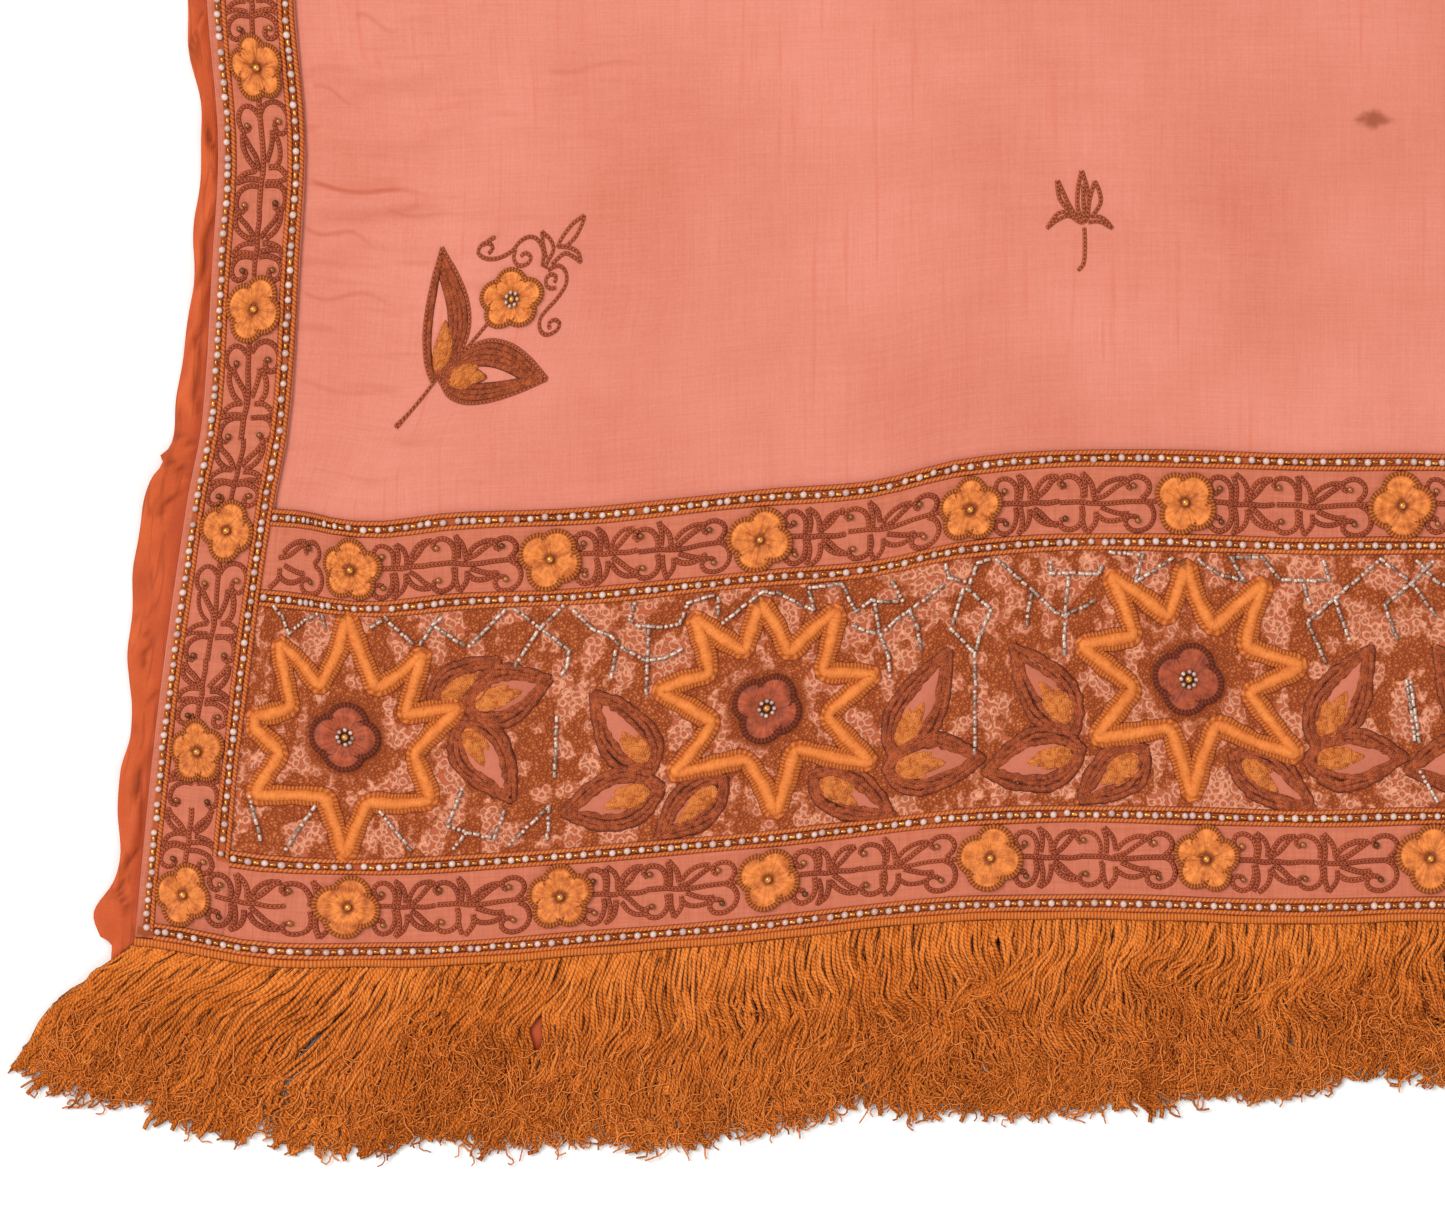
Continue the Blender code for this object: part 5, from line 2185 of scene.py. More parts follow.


# Beaded lines of the star panel, from a star's middle, in steps of STEP
STEP = 0.3
CORNER_LINES = (
    ((-88, 125), (-77, 116), (-67, 99), (-48, 115), (-29, 124)), ((-26, 122), (-21, 106)),
    ((27, 114), (40, 123), (70, 92)), ((75, 93), (88, 111), (102, 122)),
    ((91, 108), (123, 86), (141, 103), (160, 122)),
    ((171, 122), (192, 104), (208, 91), (225, 77), (222, 64), (214, 49)),
    ((219, 124), (197, 104), (189, 93), (168, 62)), ((-90, -66), (-76, -108)),
    ((-29, -72), (-54, -118)), ((35, -76), (67, -118)),
    ((118, -56), (102, -94), (149, -110), (160, -81)), ((121, -101), (107, -119)),
    ((204, -80), (162, -119)), ((204, -83), (202, -119)), ((212, 10), (209, -54)),
)
EVEN_LINES = (
    ((-193, 118), (-175, 98), (-156, 89), (-142, 74), (-121, 61), (-102, 61), (-84, 70)),
    ((-151, 73), (-156, 43)), ((-118, 97), (-119, 57), (-121, 25)),
    ((-132, 122), (-137, 104), (-129, 97), (-102, 93), (-87, 95), (-79, 115), (-49, 122)),
    ((-48, 117), (-49, 97)), ((-45, 90), (-4, 119), (11, 116), (46, 97)),
    ((48, 98), (41, 119), (75, 121), (89, 91), (104, 101), (136, 93), (124, 120)),
    ((108, 97), (113, 64), (121, 42), (123, 14)),
    ((86, 77), (113, 63), (129, 76), (155, 89), (177, 100)), ((144, 82), (150, 65), (154, 40)),
    ((179, 120), (182, 107), (203, 99), (211, 118), (228, 122)),
    ((200, 94), (224, 71), (212, 42), (208, 29)), ((196, 93), (184, 55), (208, 29), (208, -72)),
)
ODD_LINES = (
    ((-192, 119), (-158, 89), (-133, 64), (-123, 61), (-91, 76)), ((-157, 83), (-163, 49)),
    ((-120, 99), (-123, 70), (-125, 20)), ((-139, 115), (-138, 103), (-91, 101), (-85, 113)),
    ((-78, 122), (-46, 120), (-54, 93), (-16, 117)),
    ((9, 117), (32, 102), (55, 98), (42, 120), (73, 121), (92, 99), (140, 99), (134, 121)),
    ((115, 95), (122, 74)), ((119, 59), (147, 82), (192, 119), (223, 96), (247, 64)),
    ((245, 118), (223, 96), (196, 74), (211, 36)), ((119, 58), (137, 18)), ((147, 79), (162, 37)),
    ((218, 0), (227, -63)), ((222, 0), (231, -63)), ((231, -88), (250, -120)),
)

# Leaves round a star: base and tip, across and along from its middle in millimetres, full width
STAR_LEAVES = (
    (-33.5, -16.5, -52.8, 10.5, 17), (-31, -21, -62, -27, 19), (-12, -20, -33, -36.5, 16),
    (37.5, -19.5, 55, 11, 17.5), (34.5, -22.6, 66, -22.5, 19), (12.6, -21.2, 38.6, -37.2, 16),
)
CORNER_LEAVES = (
    (25.5, 7.5, 47, 22, 16), (35, 7, 62.5, 15, 19), (34, 4.5, 50.5, -22.5, 18),
)


def leaf_side(base: Array, tip: Array, half: float, side: float) -> Array:
    """Return one side of a leaf's outline, from its base to its tip.

    Args:
        base: Where the leaf starts.
        tip: Where it ends.
        half: How far the side swells out.
        side: 1 for the left side, -1 for the right.

    Returns:
        Six places.
    """
    length, way, out, _ = course(base, tip)
    out = out * side
    shares = np.array([0.0, 0.14, 0.34, 0.56, 0.78, 1.0])
    swell = np.array([0.0, 0.66, 1.0, 0.92, 0.55, 0.0])
    return base + way * (shares * length)[:, None] + out * (swell * half)[:, None]


def leaf_core() -> Shape:
    """Return a low dome that narrows to its tip.

    Returns:
        The dome, 1 long either way from its middle.
    """
    dome = Shape.turned(((0.0, 1.0), (0.5, 0.92), (0.85, 0.6), (1.0, 0.0), (0.0, 0.0)), 12)
    narrow = dome.points.copy()
    narrow[:, 1] *= 1.0 - 0.45 * narrow[:, 0]
    return Shape(narrow, dome.faces, dome.own)


def core_blades(
    stamps: Stamps, shape: Shape, root: Array, turn: float, level: float,
    rng: np.random.Generator,
) -> None:
    """Sew a leaf's gold core: blades of satin stitch that fan out from its root.

    Args:
        stamps: Takes the blades.
        shape: One blade.
        root: Where they start.
        turn: The leaf's bearing in radians.
        level: Their level.
        rng: Varies each blade a little.
    """
    for lean, half, wide in ((-0.26, 5.9, 2.5), (0.24, 6.1, 2.5), (-0.02, 7.7, 2.9)):
        way = turn + lean + rng.normal(0.0, 0.06)
        size = rng.uniform(0.88, 1.08)
        spot = root + np.array([math.cos(way), math.sin(way)]) * half * size
        height = level + (0.15 if abs(lean) < 0.1 else 0.0)
        stamps.add(
            shape, (*spot, height), (half * size, wide * size, 1.1), way, rng.uniform(0.1, 0.9)
        )


@dataclass
class EndBorder(Embroidery):
    """Stitching of one end border: four braids, two scroll bands and the star panel."""

    cords: Strands = field(
        default_factory=lambda: Strands((
            (-3.0, 0.0), (-2.5, 0.8), (-1.7, 0.8), (-1.15, 1.45), (0.0, 1.85), (1.15, 1.45),
            (1.7, 0.8), (2.5, 0.8), (3.0, 0.0),
        ))
    )
    rims: Strands = field(default_factory=lambda: Strands.ridge(1.25, 0.85))
    cores: Stamps = field(default_factory=Stamps)
    plates: Stamps = field(default_factory=Stamps)

    def __post_init__(self) -> None:
        """Make the small shapes, and a leaf core that narrows to its tip."""
        super().__post_init__()
        self.core = leaf_core()
        self.plate = Shape.turned(((0.0, 1.0), (0.9, 1.0), (1.0, 0.0), (0.0, 0.0)), 14)

    def star_line(self, across: float, along: float, rays: Rows) -> Array:
        """Return one star's cord line, its corners rounded and its sides a little bowed.

        Args:
            across: The star's middle across.
            along: Its middle along.
            rays: One row for each ray and the notch after it.

        Returns:
            The line's points.
        """
        corners = []
        for ray, reach, notch, notch_reach in rays:
            for bearing, distance in ((ray, reach - 1.0), (notch, notch_reach)):
                turn = math.radians(bearing) + self.rng.normal(0.0, 0.02)
                distance += self.rng.normal(0.0, 0.4)
                corners.append((distance * math.cos(turn), distance * math.sin(turn)))
        ring = []
        for here, after in zip(corners, corners[1:] + corners[:1]):
            here, after = np.array(here), np.array(after)
            side = np.array([here[1] - after[1], after[0] - here[0]])
            ring += [here, (here + after) / 2.0 + side * self.rng.normal(0.0, 0.035)]
        step = 1.2 if self.close(across, along) else 2.6
        dense = resample(np.array(ring + ring[:1]), step, closed=True)
        for _ in range(3 if step < 2.0 else 1):
            dense = 0.5 * dense + 0.25 * (np.roll(dense, 1, axis=0) + np.roll(dense, -1, axis=0))
        return dense + np.array([across, along])

    def star(self, number: int) -> None:
        """Sew one star: its cord, its rust flower and its ring of beads.

        Args:
            number: Its number from the corner, 0 first.
        """
        across = CUT.star_first + CUT.star_pitch * number
        along = CUT.star_row
        line = self.star_line(across, along, STAR_RAYS if number else CORNER_RAYS)
        first = CUT.side_inner + 3.6
        line[:, 0] = np.clip(line[:, 0], first, CUT.width - first)
        wave = np.arange(len(line))
        wide = 1.1 + 0.08 * np.sin(wave * 0.37 + number) + 0.06 * np.sin(wave * 1.13)
        self.cords.add(line, CUT.border_top - 0.1, wide, closed=True)
        fine = self.close(across, along)
        self.rust_petals.add(
            self.flowers.books[fine][(0, 2)[number % 2]], (across, along, CUT.border_top - 0.2),
            (1.26, 1.26, 0.95), self.rng.uniform(-0.2, 0.2), self.rng.uniform(),
        )
        ball = self.balls[fine]
        self.gold.add(ball, (across, along, CUT.border_top + 1.7), (1.15, 1.15, 1.0), 0.0, 0.9)
        for k in range(8):
            turn = TURN * k / 8.0 + self.rng.normal(0.0, 0.06)
            spot = (across + 2.25 * math.cos(turn), along + 2.25 * math.sin(turn))
            self.silver.add(
                ball, (*spot, CUT.border_top + 1.45), (0.72, 0.72, 0.65), 0.0, self.rng.uniform()
            )

    def leaf(self, centre: Array, base: Array, tip: Array, width: float) -> None:
        """Sew one leaf: a rim of three knotted rows and a gold core in its base half.

        Args:
            centre: The star's middle.
            base: Where the leaf starts, from that middle.
            tip: Where it ends, from that middle.
            width: Its full width.
        """
        base, tip = centre + base, centre + tip
        step = 1.5 if self.close(*base) else 3.6
        length, way, out, turn = course(base, tip)
        for side in (-1.0, 1.0):
            for inset in (0.9, 2.7, 4.4):
                start, end = base + way * inset * 0.5, tip - way * inset * 0.8
                line = leaf_side(start, end, width / 2.0 - inset, side)
                line = line + self.rng.normal(0.0, 0.22, line.shape)
                trim = through(line, step)
                trim = trim + self.rng.normal(0.0, 0.12, trim.shape)
                self.rims.add(
                    trim, CUT.border_top - 0.15 + self.rng.uniform(-0.1, 0.2, len(trim)),
                    self.rng.uniform(0.85, 1.2, len(trim)), self.rng.uniform(0.1, 0.9),
                )
        root = base + way * 3.6 + out * self.rng.normal(0.0, 0.3)
        core_blades(self.cores, self.core, root, turn, CUT.border_top - 0.2, self.rng)
        spot = (base + tip) / 2.0
        self.plates.add(
            self.plate, (*spot, CUT.border_top - 0.1),
            (length / 2.0 - 4.0, width / 2.0 - 4.3, 0.3), turn, self.rng.uniform(0.2, 0.8),
        )

    def bugles(self, line: Array) -> None:
        """Lay silver tubes and seeds along one bent line.

        Args:
            line: The line's corners.
        """
        for start, end in zip(line, line[1:]):
            length, way, _, turn = course(start, end)
            place = 0.5
            while place < length - 0.3:
                spot = start + way * place + self.rng.normal(0.0, 0.1, 2)
                close = self.close(*spot)
                if self.rng.uniform() < 0.75:
                    self.silver.add(
                        self.tubes[close], (*spot, CUT.border_top + 0.6), (1.0, 0.62, 0.6),
                        turn + self.rng.normal(0.0, 0.1), self.rng.uniform(),
                    )
                    place += 2.3
                else:
                    self.silver.add(
                        self.seeds[close], (*spot, CUT.border_top + 0.7), (0.7, 0.7, 0.65), 0.0,
                        self.rng.uniform(0.7, 1.0),
                    )
                    place += 1.6

    def panel(self) -> None:
        """Fill the panel round the stars with leaves and beaded lines."""
        low = CUT.side_inner + 2.5
        for number in range(CUT.star_count):
            centre = np.array([CUT.star_first + CUT.star_pitch * number, CUT.star_row])
            leaves = STAR_LEAVES if number < CUT.star_count - 1 else STAR_LEAVES[:3]
            lines = ODD_LINES if number % 2 == 0 else EVEN_LINES
            if number == 0:
                leaves, lines = CORNER_LEAVES, CORNER_LINES
            for bu, bv, tu, tv, width in leaves:
                self.leaf(centre, np.array([bu, bv]), np.array([tu, tv]), width)
            for line in lines:
                spots = centre + np.asarray(line) * STEP
                if spots[:, 0].min() > low and spots[:, 0].max() < CUT.width - low:
                    self.bugles(spots)

    def build(self) -> None:
        """Sew everything on the end border."""
        seam, lower, upper, inner = CUT.bead_lines
        self.braid((CUT.outer_beads + 2.6, seam), (CUT.width - CUT.outer_beads - 2.6, seam))
        for line in (lower, upper, inner):
            self.braid((CUT.inner_beads + 2.6, line), (CUT.width - CUT.inner_beads - 2.6, line))
        low_row = [CUT.side_middle] + [row[0] for row in BAND_FLOWERS]
        low_row.append(CUT.width - CUT.side_middle)
        band = ScrollBand((0.0, CUT.band_lower - 0.2), 0.0)
        self.scroll_row(band, low_row)
        high_row = [row[1] for row in BAND_FLOWERS]
        band = ScrollBand((0.0, CUT.band_upper + 0.2), 0.0)
        self.scrolls(band, CUT.side_inner, high_row[0], (33.6, UNIT))
        self.scroll_row(band, high_row)
        self.scrolls(band, high_row[-1], CUT.width - CUT.side_inner, (0.0, 31.0))
        for number, (lower_at, upper_at) in enumerate(BAND_FLOWERS):
            self.flower(lower_at, CUT.band_lower, number)
            self.flower(upper_at, CUT.band_upper, number + 1)
        for number in range(CUT.star_count):
            self.star(number)
        self.panel()
        self.join()
        jobs = (
            ("star_cords", self.cords, "cord"), ("leaf_rims", self.rims, "knots"),
            ("leaf_cores", self.cores, "leaf_core"), ("leaf_cloths", self.plates, "leaf_cloth"),
        )
        join_pieces(jobs, f"_{self.name}", self.half)


# Strokes of a corner spray from its middle, in millimetres
SPRAY_SCROLLS = (
    ((-23.2, -21.6), (-26.8, -26.4), (-30, -30.6), (-32.7, -34.4)),
    ((-24, -22.4), (-27.6, -27), (-31, -31), (-33.9, -33.9)),
    ((-22.5, -20.8), (-15.4, -14.6), (-6.6, -5.6)),
    ((10.4, 9), (10.7, 13.1), (8.5, 16.7), (5.3, 17.6), (2, 16.2), (-0.6, 13.7), (-5.1, 11.9),
     (-9.6, 11.9), (-12.6, 13.7), (-11.5, 16), (-8.7, 16.2), (-7.4, 14.7), (-9, 13.3)),
    ((-11, 15.8), (-9, 17), (-6.8, 17.9)),
    ((0.7, 14.2), (0.1, 11.6), (2, 9.5), (5.3, 10.1), (6.3, 11.9), (4.2, 13.1), (2.6, 12.1)),
    ((9.8, 19), (13, 16.7), (14.3, 13.7), (12.4, 10.6), (11.5, 8.5)),
    ((9.8, 19), (10.6, 15.2), (11.7, 11.6)), ((15.6, 14.2), (16.9, 16.7), (20.8, 20.9), (25, 23.2)),
    ((18.2, 14.2), (22.1, 17.3), (24.6, 21.4), (25, 23.2)),
    ((16.2, 14.7), (20.1, 14.2), (23.3, 12.6), (24.2, 9.9)),
    ((24.2, 9.9), (21.4, 11.6), (18.2, 12.6), (13.7, 9.5)),
    ((12.4, 8), (16.2, 9.2), (18.8, 7.5), (19.1, 3.9), (16.2, -0.2), (13, -3.3), (11.1, -5.9),
     (11.7, -9), (14.3, -10.5), (17.5, -9.5), (18.4, -7.4), (16.2, -6.2), (14.3, -7.4),
     (15.3, -8.7)), ((15.6, 2.9), (13, 2.9), (11.7, 4.9), (13.3, 6.8), (15.6, 6.1), (14.9, 4.4)),
)
# Leaves of a spray: base, tip, full width to the left and to the right
SPRAY_LEAVES = (
    ((-23.8, -22.1), (-25.4, 16.2), 5.2, 10.2), ((-21.6, -21.3), (18.8, -23.4), 10.5, 7.2),
)
# Strokes of a sprig from its place, in millimetres
SPRIG_STROKES = (
    ((-0.6, 0), (-2, 6), (-1.8, 12), (-0.8, 17.4)), ((0.2, 0.6), (1.4, 7), (0.8, 12), (-0.7, 17.4)),
    ((0, 0.4), (-0.2, 7), (-0.3, 13)), ((-1.6, 1), (-4.8, 7), (-7.9, 14.4)),
    ((-4.6, 4.4), (-7.4, 8.6), (-8.2, 14.4)), ((1, 1.6), (1.6, 8), (3.2, 14)),
    ((2, 2), (4.8, 6.6), (4.6, 10.4), (3.2, 14)),
    ((-1.2, 0.6), (-4.6, 2.8), (-8, 1.6), (-11.2, -1)), ((-4, 4), (-7.8, 3.8), (-11.2, -1)),
    ((1.2, 0.6), (4.6, 0.8), (8.4, -1.4)), ((2, 2.8), (5.6, 2), (8.5, -1.3)),
    ((0, -1), (0.2, -7), (-0.2, -12.6), (-1.9, -14.8)),
)


@dataclass
class Field:
    """Corner sprays and scattered sprigs on the face cloth."""

    seed: int = 23
    spray_place: tuple[float, float] = (107.7, 196.2)
    sprig_rows: int = 6
    sprig_first: float = 205.2
    sprig_pitch: float = 151.2
    sprig_places: tuple[tuple[float, ...], ...] = ((289.3, 604.7), (128.4, 447.0, 765.6))

    def __post_init__(self) -> None:
        """Start the work."""
        self.rng = np.random.default_rng(self.seed)
        self.chain = Strands.ridge(0.76, 0.7)
        self.rims = Strands.ridge(1.25, 0.8)
        self.cores = Stamps()
        self.core = leaf_core()
        self.gold = Stamps()
        self.silver = Stamps()
        self.petals = Stamps()
        self.flowers = Flowers()
        self.ball = Shape.ball(8, 5)

    def level(self, path: Array) -> Array:
        """Return the face cloth's height under each point of a path."""
        return CUT.face_top - 0.08 + face_relief(path[:, 0], path[:, 1])

    def stroke(self, threads: Strands, points: Array, step: float, size: float = 1.0) -> None:
        """Sew one stroke on the cloth."""
        path = through(points, step)
        threads.add(path, self.level(path), size, self.rng.uniform(0.2, 0.8))

    def spray(self, side: float, half: float) -> None:
        """Sew one corner spray.

        Args:
            side: 1 on the left, -1 mirrored.
            half: 1 on the near half, -1 on the far half.
        """
        u, v = self.spray_place
        centre = np.array([u if side > 0 else CUT.width - u, v])
        fine = side > 0 and half > 0

        def at(points: Rows) -> Array:
            """Carry places of the spray to flat millimetres."""
            spots = np.asarray(points) * np.array([side, 1.0]) + centre
            return spots if half > 0 else np.array([CUT.width, CUT.length]) - spots

        step = 1.1 if fine else 2.4
        for points in SPRAY_SCROLLS:
            self.stroke(self.chain, at(points), step)
        for base, tip, left, right in SPRAY_LEAVES:
            self._spray_leaf(np.array(base), np.array(tip), left, right, at, step)
        middle = at([(0.0, 0.0)])[0]
        shape = self.flowers.books[fine][1]
        level = float(self.level(middle[None])[0])
        self.petals.add(shape, (*middle, level - 0.1), (1.36, 1.05, 0.9), 0.0, 0.5)
        self.gold.add(self.ball, (*middle, level + 1.9), (1.0, 1.0, 0.9), 0.0, 0.9)
        for k in range(7):
            turn = TURN * k / 7.0
            spot = (middle[0] + 2.0 * math.cos(turn), middle[1] + 2.0 * math.sin(turn))
            self.silver.add(self.ball, (*spot, level + 1.65), (0.68, 0.68, 0.6), 0.0, 0.7)

    def _spray_leaf(
        self, base: Array, tip: Array, left: float, right: float,
        at: Callable[[Rows], Array], step: float,
    ) -> None:
        """Sew one leaf of a spray: its outline, its filled rim and its gold core.

        Args:
            base: Where it starts, from the spray's middle.
            tip: Where it ends.
            left: Its width to the left.
            right: Its width to the right.
            at: Carries places of the spray to flat millimetres.
            step: Distance between the points of a stroke.
        """
        _, way, out, _ = course(base, tip)
        for side, half in ((1.0, left), (-1.0, right)):
            self.stroke(self.chain, at(leaf_side(base, tip, half, side)), step)
            for inset in (1.5, 3.1, 4.7, 6.3):
                if half > inset + 2.4:
                    inner = leaf_side(
                        base + way * inset * 0.5, tip - way * inset * 1.2, half - inset, side
                    )
                    self.stroke(self.rims, at(inner), step * 1.2)
        shift = out * (left - right) * 0.3
        root = at([base + way * 2.6 + shift])[0]
        turn = course(root, at([base + way * 3.6 + shift])[0])[3]
        level = float(self.level(root[None])[0]) - 0.1
        core_blades(self.cores, self.core, root, turn, level, self.rng)

    def sprig(self, across: float, along: float, turned: bool) -> None:
        """Sew one small sprig.

        Args:
            across: Its place across.
            along: Its place along.
            turned: Whether it lies half a turn round the cloth's middle.
        """
        fine = in_view(across, along) and not turned
        for points in SPRIG_STROKES:
            spots = np.asarray(points) + np.array([across, along])
            if turned:
                spots = np.array([CUT.width, CUT.length]) - spots
            self.stroke(self.chain, spots, 1.0 if fine else 3.0)

    def build(self) -> None:
        """Sew the sprays and the sprigs."""
        for half in (1.0, -1.0):
            for side in (1.0, -1.0):
                self.spray(side, half)
        for row in range(self.sprig_rows):
            along = self.sprig_first + self.sprig_pitch * row
            for across in self.sprig_places[row % 2]:
                self.sprig(across, along, False)
                self.sprig(across, along, True)
        for across in (287.7, 606.3):
            self.sprig(across, CUT.length / 2.0, False)
        jobs = (
            ("field_stitching", self.chain, "field_chain"), ("spray_rims", self.rims, "knots"),
            ("spray_cores", self.cores, "leaf_core"), ("spray_flowers", self.petals, "petal"),
            ("spray_gold", self.gold, "gold"), ("spray_silver", self.silver, "silver"),
        )
        join_pieces(jobs, "")


@dataclass
class Lock:
    """What the threads of one lock share: its roots, its bows and its length."""

    first: float
    last: float
    bows: tuple[tuple[float, float, float], ...]
    length: float
    level: float
    tone: float
    pinch: float


@dataclass
class Fringe:
    """One fringe: a header of small loops, and crimped threads that lie in soft locks."""

    half: Half
    seed: int
    first: float = CUT.face_edge
    seen: float = CUT.view_across
    lining_end: float = 33.0
    under_count: int = 500
    over_count: int = 1170
    curl_points: int = 12
    rest_pitch: tuple[float, float] = (1.25, 0.85)

    def __post_init__(self) -> None:
        """Start the work and share the threads out in locks."""
        self.rng = np.random.default_rng(self.seed)
        self.under = Strands.ridge(1.3, 0.25)
        self.over = Strands.ridge(0.62, 0.22)
        self.fine = Strands.ridge(0.26, 0.25)
        self.plain = Strands.ridge(1.3, 0.6)
        self.locks = self._locks()

    def _locks(self) -> list[Lock]:
        """Share the roots out in locks of uneven width.

        Returns:
            The locks, from left to right.
        """
        rng, locks, place = self.rng, [], self.first
        while place < CUT.width - self.first:
            width = rng.uniform(4.0, 13.0)
            bows = (
                (rng.normal(0.0, 0.10), rng.uniform(30.0, 50.0), rng.uniform(0.0, 6.28)),
                (rng.normal(0.0, 0.10), rng.uniform(12.0, 20.0), rng.uniform(0.0, 6.28)),
            )
            locks.append(Lock(
                place, place + width, bows, rng.normal(1.0, 0.035), rng.uniform(-0.25, 0.25),
                rng.normal(0.0, 0.045), rng.uniform(0.0, 0.06),
            ))
            place += width
        return locks

    def _wave(self, run: Array, low: float, high: float) -> Array:
        """Return a wave of random pitch and phase along a thread."""
        return ripple(run, self.rng.uniform(low, high), self.rng.uniform(0.0, 6.28))

    def _lock(self, root: float) -> Lock:
        """Return the lock that holds a root."""
        return next(lock for lock in self.locks if root < lock.last or lock is self.locks[-1])

    @staticmethod
    def _hang(root: float) -> tuple[float, float]:
        """Return the drop and the lean of a thread's tip."""
        at = np.array([root])
        return tuple(float(LAYING.read(FRINGE_HANG, at, column)[0]) for column in (1, 2))

    def _path(self, start: Array, run: Array, heading: Array) -> Array:
        """Walk from a start along headings, measured from straight down the fringe.

        Args:
            start: The first point.
            run: Distance of each point along the path.
            heading: Heading at each point, in radians.

        Returns:
            The path.
        """
        middle = (heading[1:] + heading[:-1]) / 2.0
        step = np.diff(run)
        across = start[0] + np.concatenate(([0.0], np.cumsum(np.sin(middle) * step)))
        along = start[1] - np.concatenate(([0.0], np.cumsum(np.cos(middle) * step)))
        return np.column_stack((across, along))

    @staticmethod
    def _flow(root: float, run: Array) -> Array:
        """Return the bends that neighbouring threads share, stronger away from the corner.

        Args:
            root: Where the thread starts across.
            run: Distance of each point along it.

        Returns:
            What its headings gain, in radians.
        """
        wild = 0.4 + 0.6 * LAYING.ease((root - 110.0) / 140.0)
        slow = math.sin(root / 21.0) + 0.7 * math.sin(root / 8.3 + 1.0)
        bend = 0.4 * np.sin(run * TURN / 46.0 + 1.2 * slow + root / 37.0)
        lag = 1.9 * math.sin(root / 11.0) + root / 23.0
        return (bend + 0.36 * ripple(run, 21.0, lag)) * wild * LAYING.ease(run / 18.0)

    def _edge(self, root: float, low: float, high: float) -> float:
        """Return where the fringe's rounded edge lies, between two shares of its drop."""
        wave = 1.7 * math.sin(root * 0.41) + 1.5 * math.sin(root * 0.17 + 1.0)
        return wave - self._hang(root)[0] * self.rng.uniform(low, high)

    def _side(self, path: Array) -> Array:
        """Return how far out each point of a path may lie at the fringe's left end."""
        return self.first - 8.5 + 0.69 * path[:, 1]

    @staticmethod
    def _matted(root: float) -> float:
        """Return how matted the fringe lies at a root, from 0 to 1."""
        return min(1.0, sum(math.exp(-(((root - at) / half) ** 2)) for at, half in MATTED))

    def _keep_in(self, path: Array, root: float) -> Array:
        """Draw in a thread that reaches past the fringe's edge.

        Args:
            path: The thread's path.
            root: Where the thread starts across.

        Returns:
            The path to keep.
        """
        edge = self._edge(root, 0.89, 0.97)
        top, low = path[0, 1], path[:, 1].min()
        if low < edge < top:
            path[:, 1] = top + (path[:, 1] - top) * (edge - top) / (low - top)
        side = self._side(path)
        start = path[0, 0]
        if start > side[0]:
            past = path[:, 0] < side
            shares = (start - side[past]) / (start - path[past, 0])
            path[:, 0] = start + (path[:, 0] - start) * min(1.0, shares.min(initial=1.0))
        return path

    def _floor(self, path: Array) -> Array:
        """Return the lowest level that is free: on the lining, then on the floor."""
        past = LAYING.ease((-path[:, 1] - self.lining_end) / 9.0)
        return 1.15 - 1.1 * past

    def thread(
        self, root: float, strands: Strands, count: int, low: float, high: float
    ) -> tuple[Array, Array]:
        """Lay one thread from its root in the header to its free tip.

        Args:
            root: Where it starts across.
            strands: Takes the thread.
            count: How many points it has.
            low: Lowest level at its root.
            high: Highest level at its root.

        Returns:
            Its path and its headings.
        """
        rng, lock = self.rng, self._lock(root)
        drop, lean = self._hang(root)
        base = math.atan2(lean, drop)
        length = math.hypot(lean, drop) * 1.24 * lock.length * rng.uniform(0.84, 1.04) - 3.0
        if rng.uniform() < 0.12:
            length *= rng.uniform(0.6, 0.9)
        share = 1.0 - np.linspace(1.0, 0.0, count) ** 1.25
        run = share * length
        start_soft = np.minimum(1.0, run / 14.0)
        matted = self._matted(root)
        heading = base * (1.22 - 0.42 * share) + self._flow(root, run) * (1.0 + matted)
        bow = rng.normal(0.0, 0.11 + 0.2 * matted)
        heading = heading + bow * self._wave(run, 18.0, 32.0)
        for size, pitch, phase in lock.bows:
            heading = heading + size * ripple(run, pitch, phase) * start_soft
        pitch, phase = rng.uniform(7.5, 14.0), rng.uniform(0.0, 6.28)
        wave = abs(rng.normal(0.13, 0.1)) * (1.0 + 1.6 * share ** 2)
        heading = heading + wave * ripple(run, pitch, phase) * start_soft
        curl = rng.normal(1.2, 0.4) * LAYING.ease((share - 0.45) / 0.55)
        heading = heading + curl * self._wave(run, 7.0, 12.0) + rng.normal(0.0, 0.06)
        side = (root - (lock.first + lock.last) / 2.0) / max(lock.last - lock.first, 1.0)
        heading = heading - side * lock.pinch * np.cos(share * math.pi * 1.15) * 2.0
        path = self._path(np.array([root, -3.0]), run, heading)
        path = self._keep_in(path, root)
        top = rng.uniform(low, high)
        level = top + lock.level * np.sin(share * math.pi) + (1.3 - top) * share ** 2
        level = level + 0.25 * np.sin(run / 3.0 + phase)
        level = np.clip(level, self._floor(path), 4.6)
        tone = rng.normal(0.54 - 0.14 * matted, 0.1) + lock.tone
        size = 1.22 - 0.34 * share - 0.4 * share ** 4
        strands.add(path, level, size, float(np.clip(tone, 0.0, 1.0)))
        return path, heading

